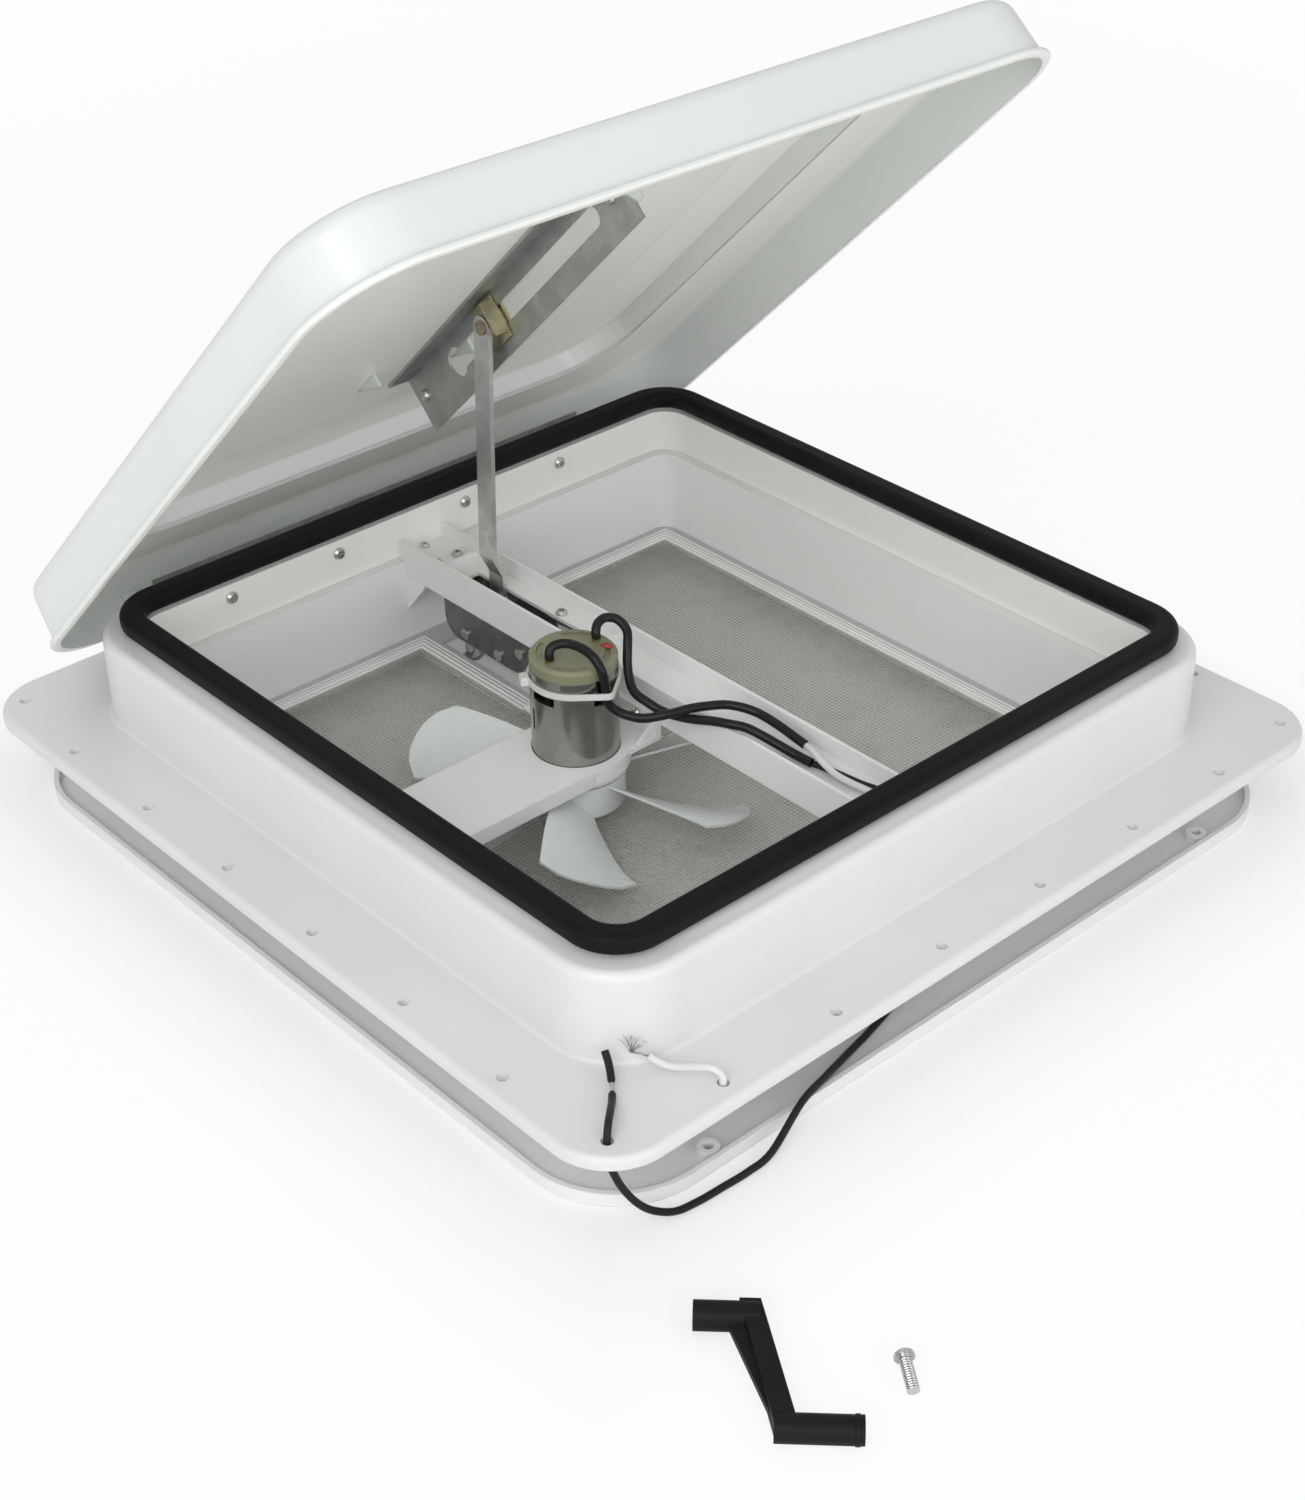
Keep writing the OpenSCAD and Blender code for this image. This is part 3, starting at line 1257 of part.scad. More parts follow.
module handle_screw() {
    head = [-181.7, -339];
    turn = 56;
    head_r = 4;
    shank_r = 2.4;
    length = 14.5;
    dip = asin((head_r - shank_r) / length);
    color([0.8, 0.8, 0.8]) translate([head[0], head[1], floor_z + head_r]) rotate([0, 0, turn])
        rotate([0, 90 - dip, 0]) pan_screw(head_r, 2.4, shank_r, length);
}

base_frame();
gasket();
base_leaf();
hinge_pin();
hinge_screws();
lid();
lid_leaf();
lid_rivets();
lift_rail();
rail_screws();
slider();
slider_pin();
lift_arm();
cross_channel();
channel_screws();
operator_plate_near();
operator_plate_far();
operator_rivets();
pivot_pin();
pivot_spacers();
spindle_bushes();
worm();
crank_spindle();
spindle_clip();
fan_mount();
mount_screws();
motor_can();
motor_cap();
motor_terminals();
motor_shaft();
zip_tie();
fan();
motor_lead_left();
motor_lead_right();
garnish_ring();
screen_frame();
screen_mesh();
supply_lead_black();
supply_lead_white();
crank_handle();
handle_screw();
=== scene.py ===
import math
import bpy
from mathutils import Matrix, Vector


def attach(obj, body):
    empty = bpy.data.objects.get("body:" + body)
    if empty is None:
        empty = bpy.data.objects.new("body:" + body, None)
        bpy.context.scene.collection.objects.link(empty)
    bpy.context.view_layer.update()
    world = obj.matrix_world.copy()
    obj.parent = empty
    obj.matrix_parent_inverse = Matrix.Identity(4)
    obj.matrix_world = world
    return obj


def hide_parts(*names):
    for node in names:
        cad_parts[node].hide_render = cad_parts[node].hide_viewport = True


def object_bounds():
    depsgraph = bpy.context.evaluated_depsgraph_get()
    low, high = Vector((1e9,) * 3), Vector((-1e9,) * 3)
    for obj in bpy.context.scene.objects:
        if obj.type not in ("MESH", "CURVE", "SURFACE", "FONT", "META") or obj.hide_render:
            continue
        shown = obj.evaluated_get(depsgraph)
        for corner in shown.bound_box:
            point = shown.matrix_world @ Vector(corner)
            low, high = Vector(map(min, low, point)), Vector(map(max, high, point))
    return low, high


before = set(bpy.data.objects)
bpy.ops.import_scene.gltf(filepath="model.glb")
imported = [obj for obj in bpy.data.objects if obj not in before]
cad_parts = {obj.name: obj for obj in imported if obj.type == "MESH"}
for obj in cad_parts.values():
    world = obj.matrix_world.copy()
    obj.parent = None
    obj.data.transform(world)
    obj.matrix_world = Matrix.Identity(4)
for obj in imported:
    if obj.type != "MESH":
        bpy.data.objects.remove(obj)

cad_box = [[float(v) for v in corner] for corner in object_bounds()]
scene = bpy.context.scene
scene.view_settings.view_transform = "Standard"


# Camera: stands in front and to the left of the open vent, a little above the lid's lower edge.
# Its place, lens and slight roll were found from the flange's corners.
eye = Vector((-0.6668, -0.7438, 0.6401))
aim = (Vector((-0.0219, -0.0252, 0.0)) - eye).normalized()
level = aim.cross(Vector((0, 0, 1))).normalized()
rise = level.cross(aim)
roll = math.radians(-0.659)
camera = bpy.data.objects.new("camera", bpy.data.cameras.new("camera"))
camera.data.lens = 59.466
camera.data.shift_x = 0.0036
camera.data.clip_start = 0.02
camera.matrix_world = Matrix.Translation(eye) @ Matrix((
    level * math.cos(roll) + rise * math.sin(roll),
    rise * math.cos(roll) - level * math.sin(roll),
    -aim)).transposed().to_4x4()
scene.collection.objects.link(camera)
scene.camera = camera


# Room: a plain white floor under a soft white sky that is a little darker near the ground, large lamps.
# Sky and open floor show as white to the camera; the floor keeps the shadow and stays dark under the vent.
def add(tree, kind, links=None, **props):
    node = tree.nodes.new(kind)
    for key, value in props.items():
        setattr(node, key, value)
    for key, value in (links or {}).items():
        if isinstance(value, bpy.types.NodeSocket):
            tree.links.new(value, node.inputs[key])
        else:
            node.inputs[key].default_value = value
    return node


def seen_directly(tree):
    path = add(tree, "ShaderNodeLightPath")
    return add(tree, "ShaderNodeMath", {0: path.outputs["Is Camera Ray"], 1: path.outputs["Is Transmission Ray"]},
               operation="MAXIMUM").outputs[0]


world = bpy.data.worlds.new("studio_sky")
scene.world = world
world.use_nodes = True
sky = world.node_tree
sky.nodes.clear()
sky_way = add(sky, "ShaderNodeSeparateXYZ", {0: add(sky, "ShaderNodeTexCoord").outputs["Generated"]})
sky_level = add(sky, "ShaderNodeMapRange", {"Value": sky_way.outputs[2], "From Min": -0.1, "From Max": 0.8,
                                            "To Min": 0.53, "To Max": 0.63})
sky_light = add(sky, "ShaderNodeBackground", {"Color": (0.985, 0.995, 1.0, 1), "Strength": sky_level.outputs[0]})
sky_seen = add(sky, "ShaderNodeBackground", {"Color": (1, 1, 1, 1), "Strength": 1.0})
sky_mix = add(sky, "ShaderNodeMixShader", {0: seen_directly(sky), 1: sky_light.outputs[0], 2: sky_seen.outputs[0]})
add(sky, "ShaderNodeOutputWorld", {0: sky_mix.outputs[0]})

floor_mesh = bpy.data.meshes.new("floor")
floor_z = cad_box[0][2] - 0.0001
floor_half = 5
floor_mesh.from_pydata([(x * floor_half, y * floor_half, floor_z) for x, y in ((-1, -1), (1, -1), (1, 1), (-1, 1))],
                       [], [(0, 1, 2, 3)])
floor = bpy.data.objects.new("floor", floor_mesh)
scene.collection.objects.link(floor)
floor_mat = bpy.data.materials.new("floor_white")
floor_mat.use_nodes = True
ground = floor_mat.node_tree
ground.nodes.clear()
ground_speck = add(ground, "ShaderNodeTexNoise", {"Scale": 60.0})
ground_tone = add(ground, "ShaderNodeMix", {0: ground_speck.outputs[0], 6: (0.95, 0.95, 0.95, 1),
                                            7: (0.98, 0.98, 0.98, 1)}, data_type="RGBA")
ground_lit = add(ground, "ShaderNodeBsdfDiffuse", {"Color": ground_tone.outputs[2]})
ground_white = add(ground, "ShaderNodeEmission", {"Color": (1, 1, 1, 1), "Strength": 1.0})
ground_place = add(ground, "ShaderNodeSeparateXYZ", {0: add(ground, "ShaderNodeTexCoord").outputs["Object"]})
ground_far = [add(ground, "ShaderNodeMath", {0: ground_place.outputs[k]}, operation="ABSOLUTE").outputs[0]
              for k in (0, 1)]
ground_out = add(ground, "ShaderNodeMath", {0: ground_far[0], 1: ground_far[1]}, operation="MAXIMUM")
ground_open = add(ground, "ShaderNodeMapRange", {"Value": ground_out.outputs[0], "From Min": 0.17, "From Max": 0.3,
                                                 "To Min": 0.0, "To Max": 0.85})
ground_edge = add(ground, "ShaderNodeMapRange", {"Value": ground_out.outputs[0], "From Min": 0.5, "From Max": 1.6,
                                                 "To Min": 0.0, "To Max": 0.15})
ground_pale = add(ground, "ShaderNodeMath", {0: ground_open.outputs[0], 1: ground_edge.outputs[0]}, operation="ADD")
ground_share = add(ground, "ShaderNodeMath", {0: seen_directly(ground), 1: ground_pale.outputs[0]},
                   operation="MULTIPLY")
ground_mix = add(ground, "ShaderNodeMixShader", {0: ground_share.outputs[0], 1: ground_lit.outputs[0],
                                                 2: ground_white.outputs[0]})
add(ground, "ShaderNodeOutputMaterial", {0: ground_mix.outputs[0]})
floor_mesh.materials.append(floor_mat)

for name, place, at, size, power in (
        ("key", (-1.5, -0.85, 1.15), (0, 0, 0), 1.5, 16.5),
        ("fill", (-0.2, -1.75, 0.25), (0, 0, 0.1), 1.5, 10.5),
        ("back", (0.6, 1.3, 1.5), (0, 0, 0), 1.4, 2.0)):
    lamp = bpy.data.objects.new(name, bpy.data.lights.new(name, "AREA"))
    lamp.data.size = size
    lamp.data.energy = power
    lamp.location = place
    lamp.rotation_euler = (Vector(at) - Vector(place)).to_track_quat("-Z", "Y").to_euler()
    lamp.visible_camera = False
    scene.collection.objects.link(lamp)


# White supply lead: vinyl wire with a stranded core, crimped to the left motor lead in the channel.
# It drops through the channel, runs under the flange and comes up through a screw hole, end frayed.
def smooth(route, steps):
    p = [Vector(q) * 0.001 for q in route]
    out = []
    for i in range(len(p) - 1):
        a, b, c, d = p[max(i - 1, 0)], p[i], p[i + 1], p[min(i + 2, len(p) - 1)]
        for k in range(steps):
            t = k / steps
            out.append(0.5 * (2 * b + (c - a) * t + (2 * a - 5 * b + 4 * c - d) * t * t
                              + (3 * b - a - 3 * c + d) * t ** 3))
    return out + [p[-1]]


def tube(name, points, radius, sides=12, tone=None):
    ways = [(points[min(i + 1, len(points) - 1)] - points[max(i - 1, 0)]).normalized() for i in range(len(points))]
    side = ways[0].orthogonal().normalized()
    verts, faces, tones = [], [], []
    for i, (p, w) in enumerate(zip(points, ways)):
        side = (side - w * side.dot(w)).normalized()
        other = w.cross(side)
        r = radius(i) if callable(radius) else radius
        verts += [p + r * (math.cos(math.tau * k / sides) * side + math.sin(math.tau * k / sides) * other)
                  for k in range(sides)]
    for i in range(len(points) - 1):
        for k in range(sides):
            n = (k + 1) % sides
            faces.append((i * sides + k, i * sides + n, (i + 1) * sides + n, (i + 1) * sides + k))
            tones.append(tone(i) if tone else 0)
    last = (len(points) - 1) * sides
    faces += [tuple(range(sides - 1, -1, -1)), tuple(range(last, last + sides))]
    tones += [tones[0], tones[-1]]
    mesh = bpy.data.meshes.new(name)
    mesh.from_pydata([tuple(v) for v in verts], [], faces)
    for face, index in zip(mesh.polygons, tones):
        face.material_index = index
        face.use_smooth = len(face.vertices) == 4
    obj = bpy.data.objects.new(name, mesh)
    scene.collection.objects.link(obj)
    return obj


def shade_group(name, inputs, outputs):
    tree = bpy.data.node_groups.new(name, "ShaderNodeTree")
    for label, kind, value in inputs:
        tree.interface.new_socket(label, in_out="INPUT", socket_type=kind).default_value = value
    for label, kind in outputs:
        tree.interface.new_socket(label, in_out="OUTPUT", socket_type=kind)
    return tree, tree.nodes.new("NodeGroupInput"), tree.nodes.new("NodeGroupOutput")


def finish_group(tree, exit_node, values):
    for label, socket in values.items():
        tree.links.new(socket, exit_node.inputs[label])


def noise(tree, scale, detail=3.0, vector=None):
    coords = vector or add(tree, "ShaderNodeTexCoord").outputs["Object"]
    return add(tree, "ShaderNodeTexNoise", {"Vector": coords, "Scale": scale, "Detail": detail}).outputs[0]


def span(tree, value, low, high, to_low, to_high):
    return add(tree, "ShaderNodeMapRange", {"Value": value, "From Min": low, "From Max": high, "To Min": to_low,
                                            "To Max": to_high}).outputs[0]


def mixed(tree, share, first, second):
    return add(tree, "ShaderNodeMix", {0: share, 6: first, 7: second}, data_type="RGBA").outputs[2]


moulded, m_in, m_out = shade_group(
    "moulded_skin",
    (("Colour", "NodeSocketColor", (0.7, 0.7, 0.7, 1)), ("Shade", "NodeSocketColor", (0.6, 0.6, 0.6, 1)),
     ("Rough", "NodeSocketFloat", 0.35), ("Grain", "NodeSocketFloat", 700.0), ("Depth", "NodeSocketFloat", 0.08),
     ("Edge", "NodeSocketFloat", 0.0006)),
    (("Colour", "NodeSocketColor"), ("Roughness", "NodeSocketFloat"), ("Normal", "NodeSocketVector")))
m_cloud = span(moulded, noise(moulded, 11.0, 3.0), 0.3, 0.8, 0.0, 1.0)
m_tone = mixed(moulded, m_cloud, m_in.outputs["Colour"], m_in.outputs["Shade"])
m_rough = add(moulded, "ShaderNodeMath", {0: span(moulded, m_cloud, 0.0, 1.0, -0.03, 0.05), 1: m_in.outputs["Rough"]},
              operation="ADD").outputs[0]
m_edge = add(moulded, "ShaderNodeBevel", {"Radius": m_in.outputs["Edge"]}, samples=6)
m_bump = add(moulded, "ShaderNodeBump", {"Height": noise(moulded, m_in.outputs["Grain"], 2.0),
                                         "Strength": m_in.outputs["Depth"], "Distance": 0.0003,
                                         "Normal": m_edge.outputs[0]})
finish_group(moulded, m_out, {"Colour": m_tone, "Roughness": m_rough, "Normal": m_bump.outputs[0]})


def dress(name, group, values, **settings):
    mat = bpy.data.materials.new(name)
    mat.use_nodes = True
    tree = mat.node_tree
    skin = tree.nodes["Principled BSDF"]
    node = tree.nodes.new("ShaderNodeGroup")
    node.node_tree = group
    for key, value in values.items():
        node.inputs[key].default_value = value
    for label, socket in (("Colour", "Base Color"), ("Roughness", "Roughness"), ("Normal", "Normal")):
        tree.links.new(node.outputs[label], skin.inputs[socket])
    for key, value in settings.items():
        skin.inputs[key.replace("_", " ")].default_value = value
    return mat


metal, t_in, t_out = shade_group(
    "rolled_metal",
    (("Colour", "NodeSocketColor", (0.6, 0.6, 0.6, 1)), ("Stain", "NodeSocketColor", (0.4, 0.4, 0.4, 1)),
     ("Rough", "NodeSocketFloat", 0.35), ("Spangle", "NodeSocketFloat", 160.0), ("Streak", "NodeSocketFloat", 0.25)),
    (("Colour", "NodeSocketColor"), ("Roughness", "NodeSocketFloat"), ("Normal", "NodeSocketVector")))
t_coords = add(metal, "ShaderNodeTexCoord").outputs["Object"]
t_cells = add(metal, "ShaderNodeTexVoronoi", {"Vector": t_coords, "Scale": t_in.outputs["Spangle"]})
t_cell = add(metal, "ShaderNodeSeparateColor", {0: t_cells.outputs["Color"]}).outputs[0]
t_long = add(metal, "ShaderNodeMapping", {"Vector": t_coords, "Scale": (30.0, 6.0, 60.0)}).outputs[0]
t_streak = noise(metal, 30.0, 3.0, t_long)
t_both = add(metal, "ShaderNodeMix", {0: t_in.outputs["Streak"], 2: t_cell, 3: t_streak}).outputs[0]
t_blot = span(metal, noise(metal, 45.0, 5.0), 0.45, 0.75, 0.0, 0.8)
t_share = add(metal, "ShaderNodeMath", {0: span(metal, t_both, 0.2, 0.9, 0.0, 0.45), 1: t_blot}, operation="MAXIMUM")
t_tone = mixed(metal, t_share.outputs[0], t_in.outputs["Colour"], t_in.outputs["Stain"])
t_rough = add(metal, "ShaderNodeMath", {0: span(metal, t_share.outputs[0], 0.0, 1.0, -0.05, 0.18),
                                        1: t_in.outputs["Rough"]}, operation="ADD").outputs[0]
t_edge = add(metal, "ShaderNodeBevel", {"Radius": 0.0003}, samples=4)
t_bump = add(metal, "ShaderNodeBump", {"Height": t_both, "Strength": 0.04, "Distance": 0.0002,
                                       "Normal": t_edge.outputs[0]})
finish_group(metal, t_out, {"Colour": t_tone, "Roughness": t_rough, "Normal": t_bump.outputs[0]})

wire_white = dress("wire_white", moulded, {"Colour": (0.74, 0.75, 0.74, 1), "Shade": (0.66, 0.67, 0.66, 1),
                                           "Rough": 0.24, "Grain": 500.0, "Depth": 0.05})
core_tinned = dress("core_tinned", metal, {"Colour": (0.66, 0.66, 0.65, 1), "Stain": (0.30, 0.29, 0.27, 1),
                                           "Rough": 0.30, "Spangle": 900.0, "Streak": 0.8}, Metallic=1.0)
white_route = [
    (4.45, -102.7, 27.92), (3, -108.4, 28), (0.3, -117, 27.7), (-0.6, -126.5, 26.1), (0.6, -135, 25.2),
    (2.6, -142.7, 24.3), (4.2, -155, 24), (4.2, -168, 24), (4.2, -176, 24), (4.2, -181, 23.2),
    (4.1, -184.6, 19.6), (3.6, -186, 14), (2.5, -186, 7), (0, -186, 0), (-6, -187.5, -6.5), (-20, -192.5, -9.8),
    (-50, -203, -11), (-90, -212, -12), (-125, -217, -12.3), (-144.5, -218.4, -11), (-154.5, -218.5, -7.4),
    (-157.5, -218.5, -1.4), (-157.6, -218, 3), (-159.9, -214.3, 6.1), (-163.7, -207.5, 4.6), (-167.6, -200.5, 2.6),
    (-170.4, -195.4, 3.4), (-172.5, -191.8, 5.6)]
white_line = smooth(white_route, 6)
lead_r = 0.0016
white_lead = tube("supply_lead_white_vinyl", white_line, lead_r)
white_lead.data.materials.append(wire_white)
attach(white_lead, "base")
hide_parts("supply_lead_white")
white_tip = white_line[-1]
brush_root = Vector((-0.1786, -0.1884, 0.0090))
brush_way = Vector((0.22, -0.15, 0.96)).normalized()
brush_side = brush_way.cross(Vector((0.7, 0.7, 0))).normalized()
brush_over = brush_side.cross(brush_way)
strand_count, strand_r = 16, 0.00017
core_r, brush_spread = 0.0008, 0.0062
for k in range(strand_count):
    turn = k * 2.4
    wide = math.sqrt((k + 0.5) / strand_count)
    out = brush_side * math.cos(turn) + brush_over * math.sin(turn) * 0.6
    lay = brush_side * math.cos(turn + 1.6) + brush_over * math.sin(turn + 1.6)
    far = 0.0072 + 0.0016 * math.sin(k * 1.7)
    bent = [white_tip - (brush_root - white_tip).normalized() * 0.001 + out * wide * core_r,
            white_tip.lerp(brush_root, 0.5) + lay * wide * core_r, brush_root + out * wide * core_r]
    for step in (0.3, 0.65, 1.0):
        bent.append(brush_root + brush_way * far * step * (1 - 0.3 * wide * step)
                    + out * wide * (core_r + brush_spread * step ** 1.3)
                    + lay * core_r * step * step * math.sin(k * 2.9))
    strand = tube("white_lead_strand_%d" % k, bent, strand_r, 5)
    strand.data.materials.append(core_tinned)
    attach(strand, "base")


# Black supply lead: the same vinyl wire in black, crimped to the right motor lead in the channel.
# It drops to the floor under the flange and comes up through the corner hole; its end is part stripped.
wire_black = dress("wire_black", moulded, {"Colour": (0.012, 0.012, 0.013, 1), "Shade": (0.03, 0.03, 0.03, 1),
                                           "Rough": 0.36, "Grain": 900.0, "Depth": 0.03}, Specular_IOR_Level=0.15)
black_route = [
    (-0.28, -111.7, 24.7), (1.6, -116, 24.3), (2.9, -125.3, 24.2), (4.6, -136, 24), (6.6, -144, 24),
    (9, -156, 24), (9, -168, 24), (9, -176, 24), (9, -181, 23.2), (8.9, -184.6, 19.6), (8.2, -186, 13),
    (6.5, -186, 5), (3.5, -186.2, -4), (-3, -187.3, -14), (-13, -190, -25), (-24, -194.5, -34), (-36, -198.5, -39.1),
    (-58.2, -204.8, -39.1), (-77, -209.4, -38.3), (-96.8, -215.7, -35.1), (-115, -220.4, -34.7), (-140.5, -229, -40),
    (-154, -229.4, -41.7), (-167, -228.8, -41.8), (-180, -228, -41.8), (-191.7, -226.2, -40.8), (-202, -222, -35),
    (-208.5, -217, -25), (-212, -213.5, -13), (-212.7, -212.7, -5), (-212.6, -212.6, 2), (-210, -210.4, 5.6),
    (-204, -204.8, 4.6), (-197.5, -198.4, 2.4), (-192, -192, 3), (-188, -186, 6.2), (-186.2, -181.6, 9.6)]
black_line = smooth(black_route, 6)
bare_from = len(black_line) - 17
bare_to = bare_from + 4
bare_r = 0.0009
black_lead = tube("supply_lead_black_vinyl", black_line,
                  lambda i: bare_r if bare_from < i <= bare_to else lead_r,
                  tone=lambda i: 1 if bare_from < i < bare_to else 0)
black_lead.data.materials.append(wire_black)
black_lead.data.materials.append(core_tinned)
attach(black_lead, "base")
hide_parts("supply_lead_black")


# Motor leads: wires in glossy black vinyl sleeving, soldered to the motor's two terminals.
# The zip tie holds the left one to the can, and both lie over the mount into the channel.
sleeve_black = dress("sleeve_black", moulded, {"Colour": (0.010, 0.010, 0.011, 1), "Shade": (0.022, 0.022, 0.023, 1),
                                               "Rough": 0.22, "Grain": 600.0, "Depth": 0.04}, Specular_IOR_Level=0.22)
left_route = [
    (-63, -6, 58.45), (-63, -5.8, 61.05), (-60.8, -5.4, 63.65), (-56, -8.2, 64.75), (-53.2, -15, 64.75),
    (-52.3, -22, 63.45), (-52, -26.6, 60.45), (-51.3, -29, 55.25), (-50.4, -29.2, 49.25), (-49.6, -29.1, 45.95),
    (-49.2, -29.1, 40.65), (-46.6, -31.5, 35.95), (-42.6, -37, 33.45), (-38.6, -43, 33.4), (-31.4, -50, 35.6),
    (-21.6, -54.4, 36.5), (-13.9, -58, 36.2), (-7.2, -62.3, 35.9), (-2.4, -68.4, 35.2), (0.9, -74.6, 33.9),
    (2.4, -81.6, 32.6), (3.4, -89.4, 30.9), (3.9, -96.6, 29.3), (4.4, -101.9, 28.1)]
right_route = [
    (-35, -6, 58.45), (-35, -5.7, 61.05), (-32.4, -4.2, 63.85), (-27.4, -4, 64.85), (-23.2, -7.4, 63.65),
    (-22.6, -13, 60.15), (-25.8, -17, 54.65), (-28.2, -19.4, 48.65), (-30.4, -22.9, 42.65), (-32.2, -28.5, 37.95),
    (-31, -35.6, 35.4), (-28.6, -42, 32.8), (-24.6, -49, 31.2), (-21.2, -57, 31.7), (-18, -65.6, 33.4),
    (-14.8, -73, 33.9), (-11, -79.6, 33.4), (-7.6, -86.6, 31), (-4.8, -93.6, 28.4), (-2.6, -100.2, 26.3),
    (-1.1, -106, 25.2), (-0.4, -111, 24.8)]
sleeve_r = 0.0022
for name, route in (("motor_lead_left", left_route), ("motor_lead_right", right_route)):
    line = smooth(route, 6)
    sleeve = tube(name + "_sleeve", line, sleeve_r, 14)
    sleeve.data.materials.append(sleeve_black)
    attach(sleeve, "base")
    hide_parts(name)


# Base frame: one white ABS moulding of screw flange, upstand and throat.
# It sits on the roof skin, screwed down through the rows of holes in its flange.
# Outside the gasket its skin is painted darker than inside, as painted shade that evens out the light; it is creamier
# above the ledge, with a painted shade line in the ledge's corner.
def paint(mat, *names):
    for name in names:
        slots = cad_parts[name].data.materials
        slots.clear()
        slots.append(mat)


white_abs = dress("white_abs", moulded, {"Rough": 0.32, "Grain": 1200.0, "Depth": 0.02})
abs_tree = white_abs.node_tree
abs_group = next(node for node in abs_tree.nodes if node.type == "GROUP")
abs_place = add(abs_tree, "ShaderNodeSeparateXYZ", {0: add(abs_tree, "ShaderNodeTexCoord").outputs["Object"]})
corner_power = 8.0
abs_size = [add(abs_tree, "ShaderNodeMath", {0: abs_place.outputs[k]}, operation="ABSOLUTE").outputs[0] for k in (0, 1)]
abs_far = [add(abs_tree, "ShaderNodeMath", {0: size, 1: corner_power}, operation="POWER").outputs[0]
           for size in abs_size]
abs_sum = add(abs_tree, "ShaderNodeMath", {0: abs_far[0], 1: abs_far[1]}, operation="ADD").outputs[0]
abs_round = add(abs_tree, "ShaderNodeMath", {0: abs_sum, 1: 1 / corner_power}, operation="POWER").outputs[0]
# Painted shade: outside the gasket the walls get a darker colour than the throat and lip inside.
gasket_in, gasket_out = 0.1845, 0.1885
abs_outer_painted_shade = span(abs_tree, abs_round, gasket_in, gasket_out, 0.0, 1.0)
ledge_z = 0.0203
abs_above = span(abs_tree, abs_place.outputs[2], ledge_z, ledge_z + 0.0008, 0.0, 1.0)
# Painted shade: a thin band just above the ledge is darkened where the wall meets it.
abs_off = add(abs_tree, "ShaderNodeMath", {0: abs_place.outputs[2], 1: ledge_z + 0.0003},
              operation="SUBTRACT").outputs[0]
abs_near = add(abs_tree, "ShaderNodeMath", {0: abs_off}, operation="ABSOLUTE").outputs[0]
abs_crease = span(abs_tree, abs_near, 0.0002, 0.0005, 0.45, 0.0)
crease_painted_shade = (0.42, 0.42, 0.40, 1)
for socket, throat, lip, outside in (
        ("Colour", (0.92, 0.925, 0.915, 1), (0.93, 0.928, 0.905, 1), (0.75, 0.755, 0.75, 1)),
        ("Shade", (0.89, 0.893, 0.88, 1), (0.90, 0.897, 0.87, 1), (0.71, 0.715, 0.705, 1))):
    abs_wall = mixed(abs_tree, abs_above, throat, lip)
    abs_lined = mixed(abs_tree, abs_crease, abs_wall, crease_painted_shade)
    abs_tree.links.new(mixed(abs_tree, abs_outer_painted_shade, abs_lined, outside), abs_group.inputs[socket])
paint(white_abs, "base_frame")


# Cross channel and fan mount: two more white mouldings, screwed together over the opening.
# The channel's ends stand on the throat, and the mount's arm carries the motor seat.
channel_white = dress("channel_white", moulded, {"Colour": (0.87, 0.875, 0.865, 1), "Shade": (0.83, 0.83, 0.815, 1),
                                                 "Rough": 0.32, "Grain": 1200.0, "Depth": 0.02})
paint(channel_white, "cross_channel", "fan_mount")


# Fan: white moulding of hub and blades, pushed on the motor's shaft.
# It hangs under the mount and is seen through the gap beside the channel.
fan_white = dress("fan_white", moulded, {"Colour": (0.82, 0.85, 0.83, 1), "Shade": (0.77, 0.80, 0.78, 1),
                                         "Rough": 0.26, "Grain": 1200.0, "Depth": 0.02})
paint(fan_white, "fan")


# Gasket: extruded black rubber bulb pushed on the upstand's lip all the way round.
# Soft and matt, with dust in its skin and a faint sheen along the bulb.
rubber = dress("rubber_black", moulded, {"Colour": (0.006, 0.006, 0.007, 1), "Shade": (0.012, 0.012, 0.012, 1),
                                         "Rough": 0.50, "Grain": 900.0, "Depth": 0.10}, Specular_IOR_Level=0.10)
paint(rubber, "gasket")


# Lid: deep vacuum-formed white shell with a raised middle, riveted to its hinge leaf.
# Its underside is painted paler than the skirt, as painted light; the skirt looks a little green.
lid_white = dress("lid_white", moulded, {"Rough": 0.22, "Grain": 1200.0, "Depth": 0.01, "Edge": 0.002})
lid_tree = lid_white.node_tree
lid_group = next(node for node in lid_tree.nodes if node.type == "GROUP")
# Painted light: faces turned down and forward, the underside, get a paler colour than the skirt.
lid_inward = (0.0, -0.7071, -0.7071)
lid_facing = add(lid_tree, "ShaderNodeVectorMath", {0: add(lid_tree, "ShaderNodeTexCoord").outputs["Normal"],
                                                    1: lid_inward}, operation="DOT_PRODUCT")
lid_underside_painted_light = span(lid_tree, lid_facing.outputs["Value"], 0.3, 0.9, 0.0, 1.0)
for socket, skirt, under in (("Colour", (0.80, 0.825, 0.80, 1), (0.93, 0.94, 0.90, 1)),
                             ("Shade", (0.76, 0.785, 0.76, 1), (0.90, 0.91, 0.87, 1))):
    lid_tree.links.new(mixed(lid_tree, lid_underside_painted_light, skirt, under), lid_group.inputs[socket])
paint(lid_white, "lid")


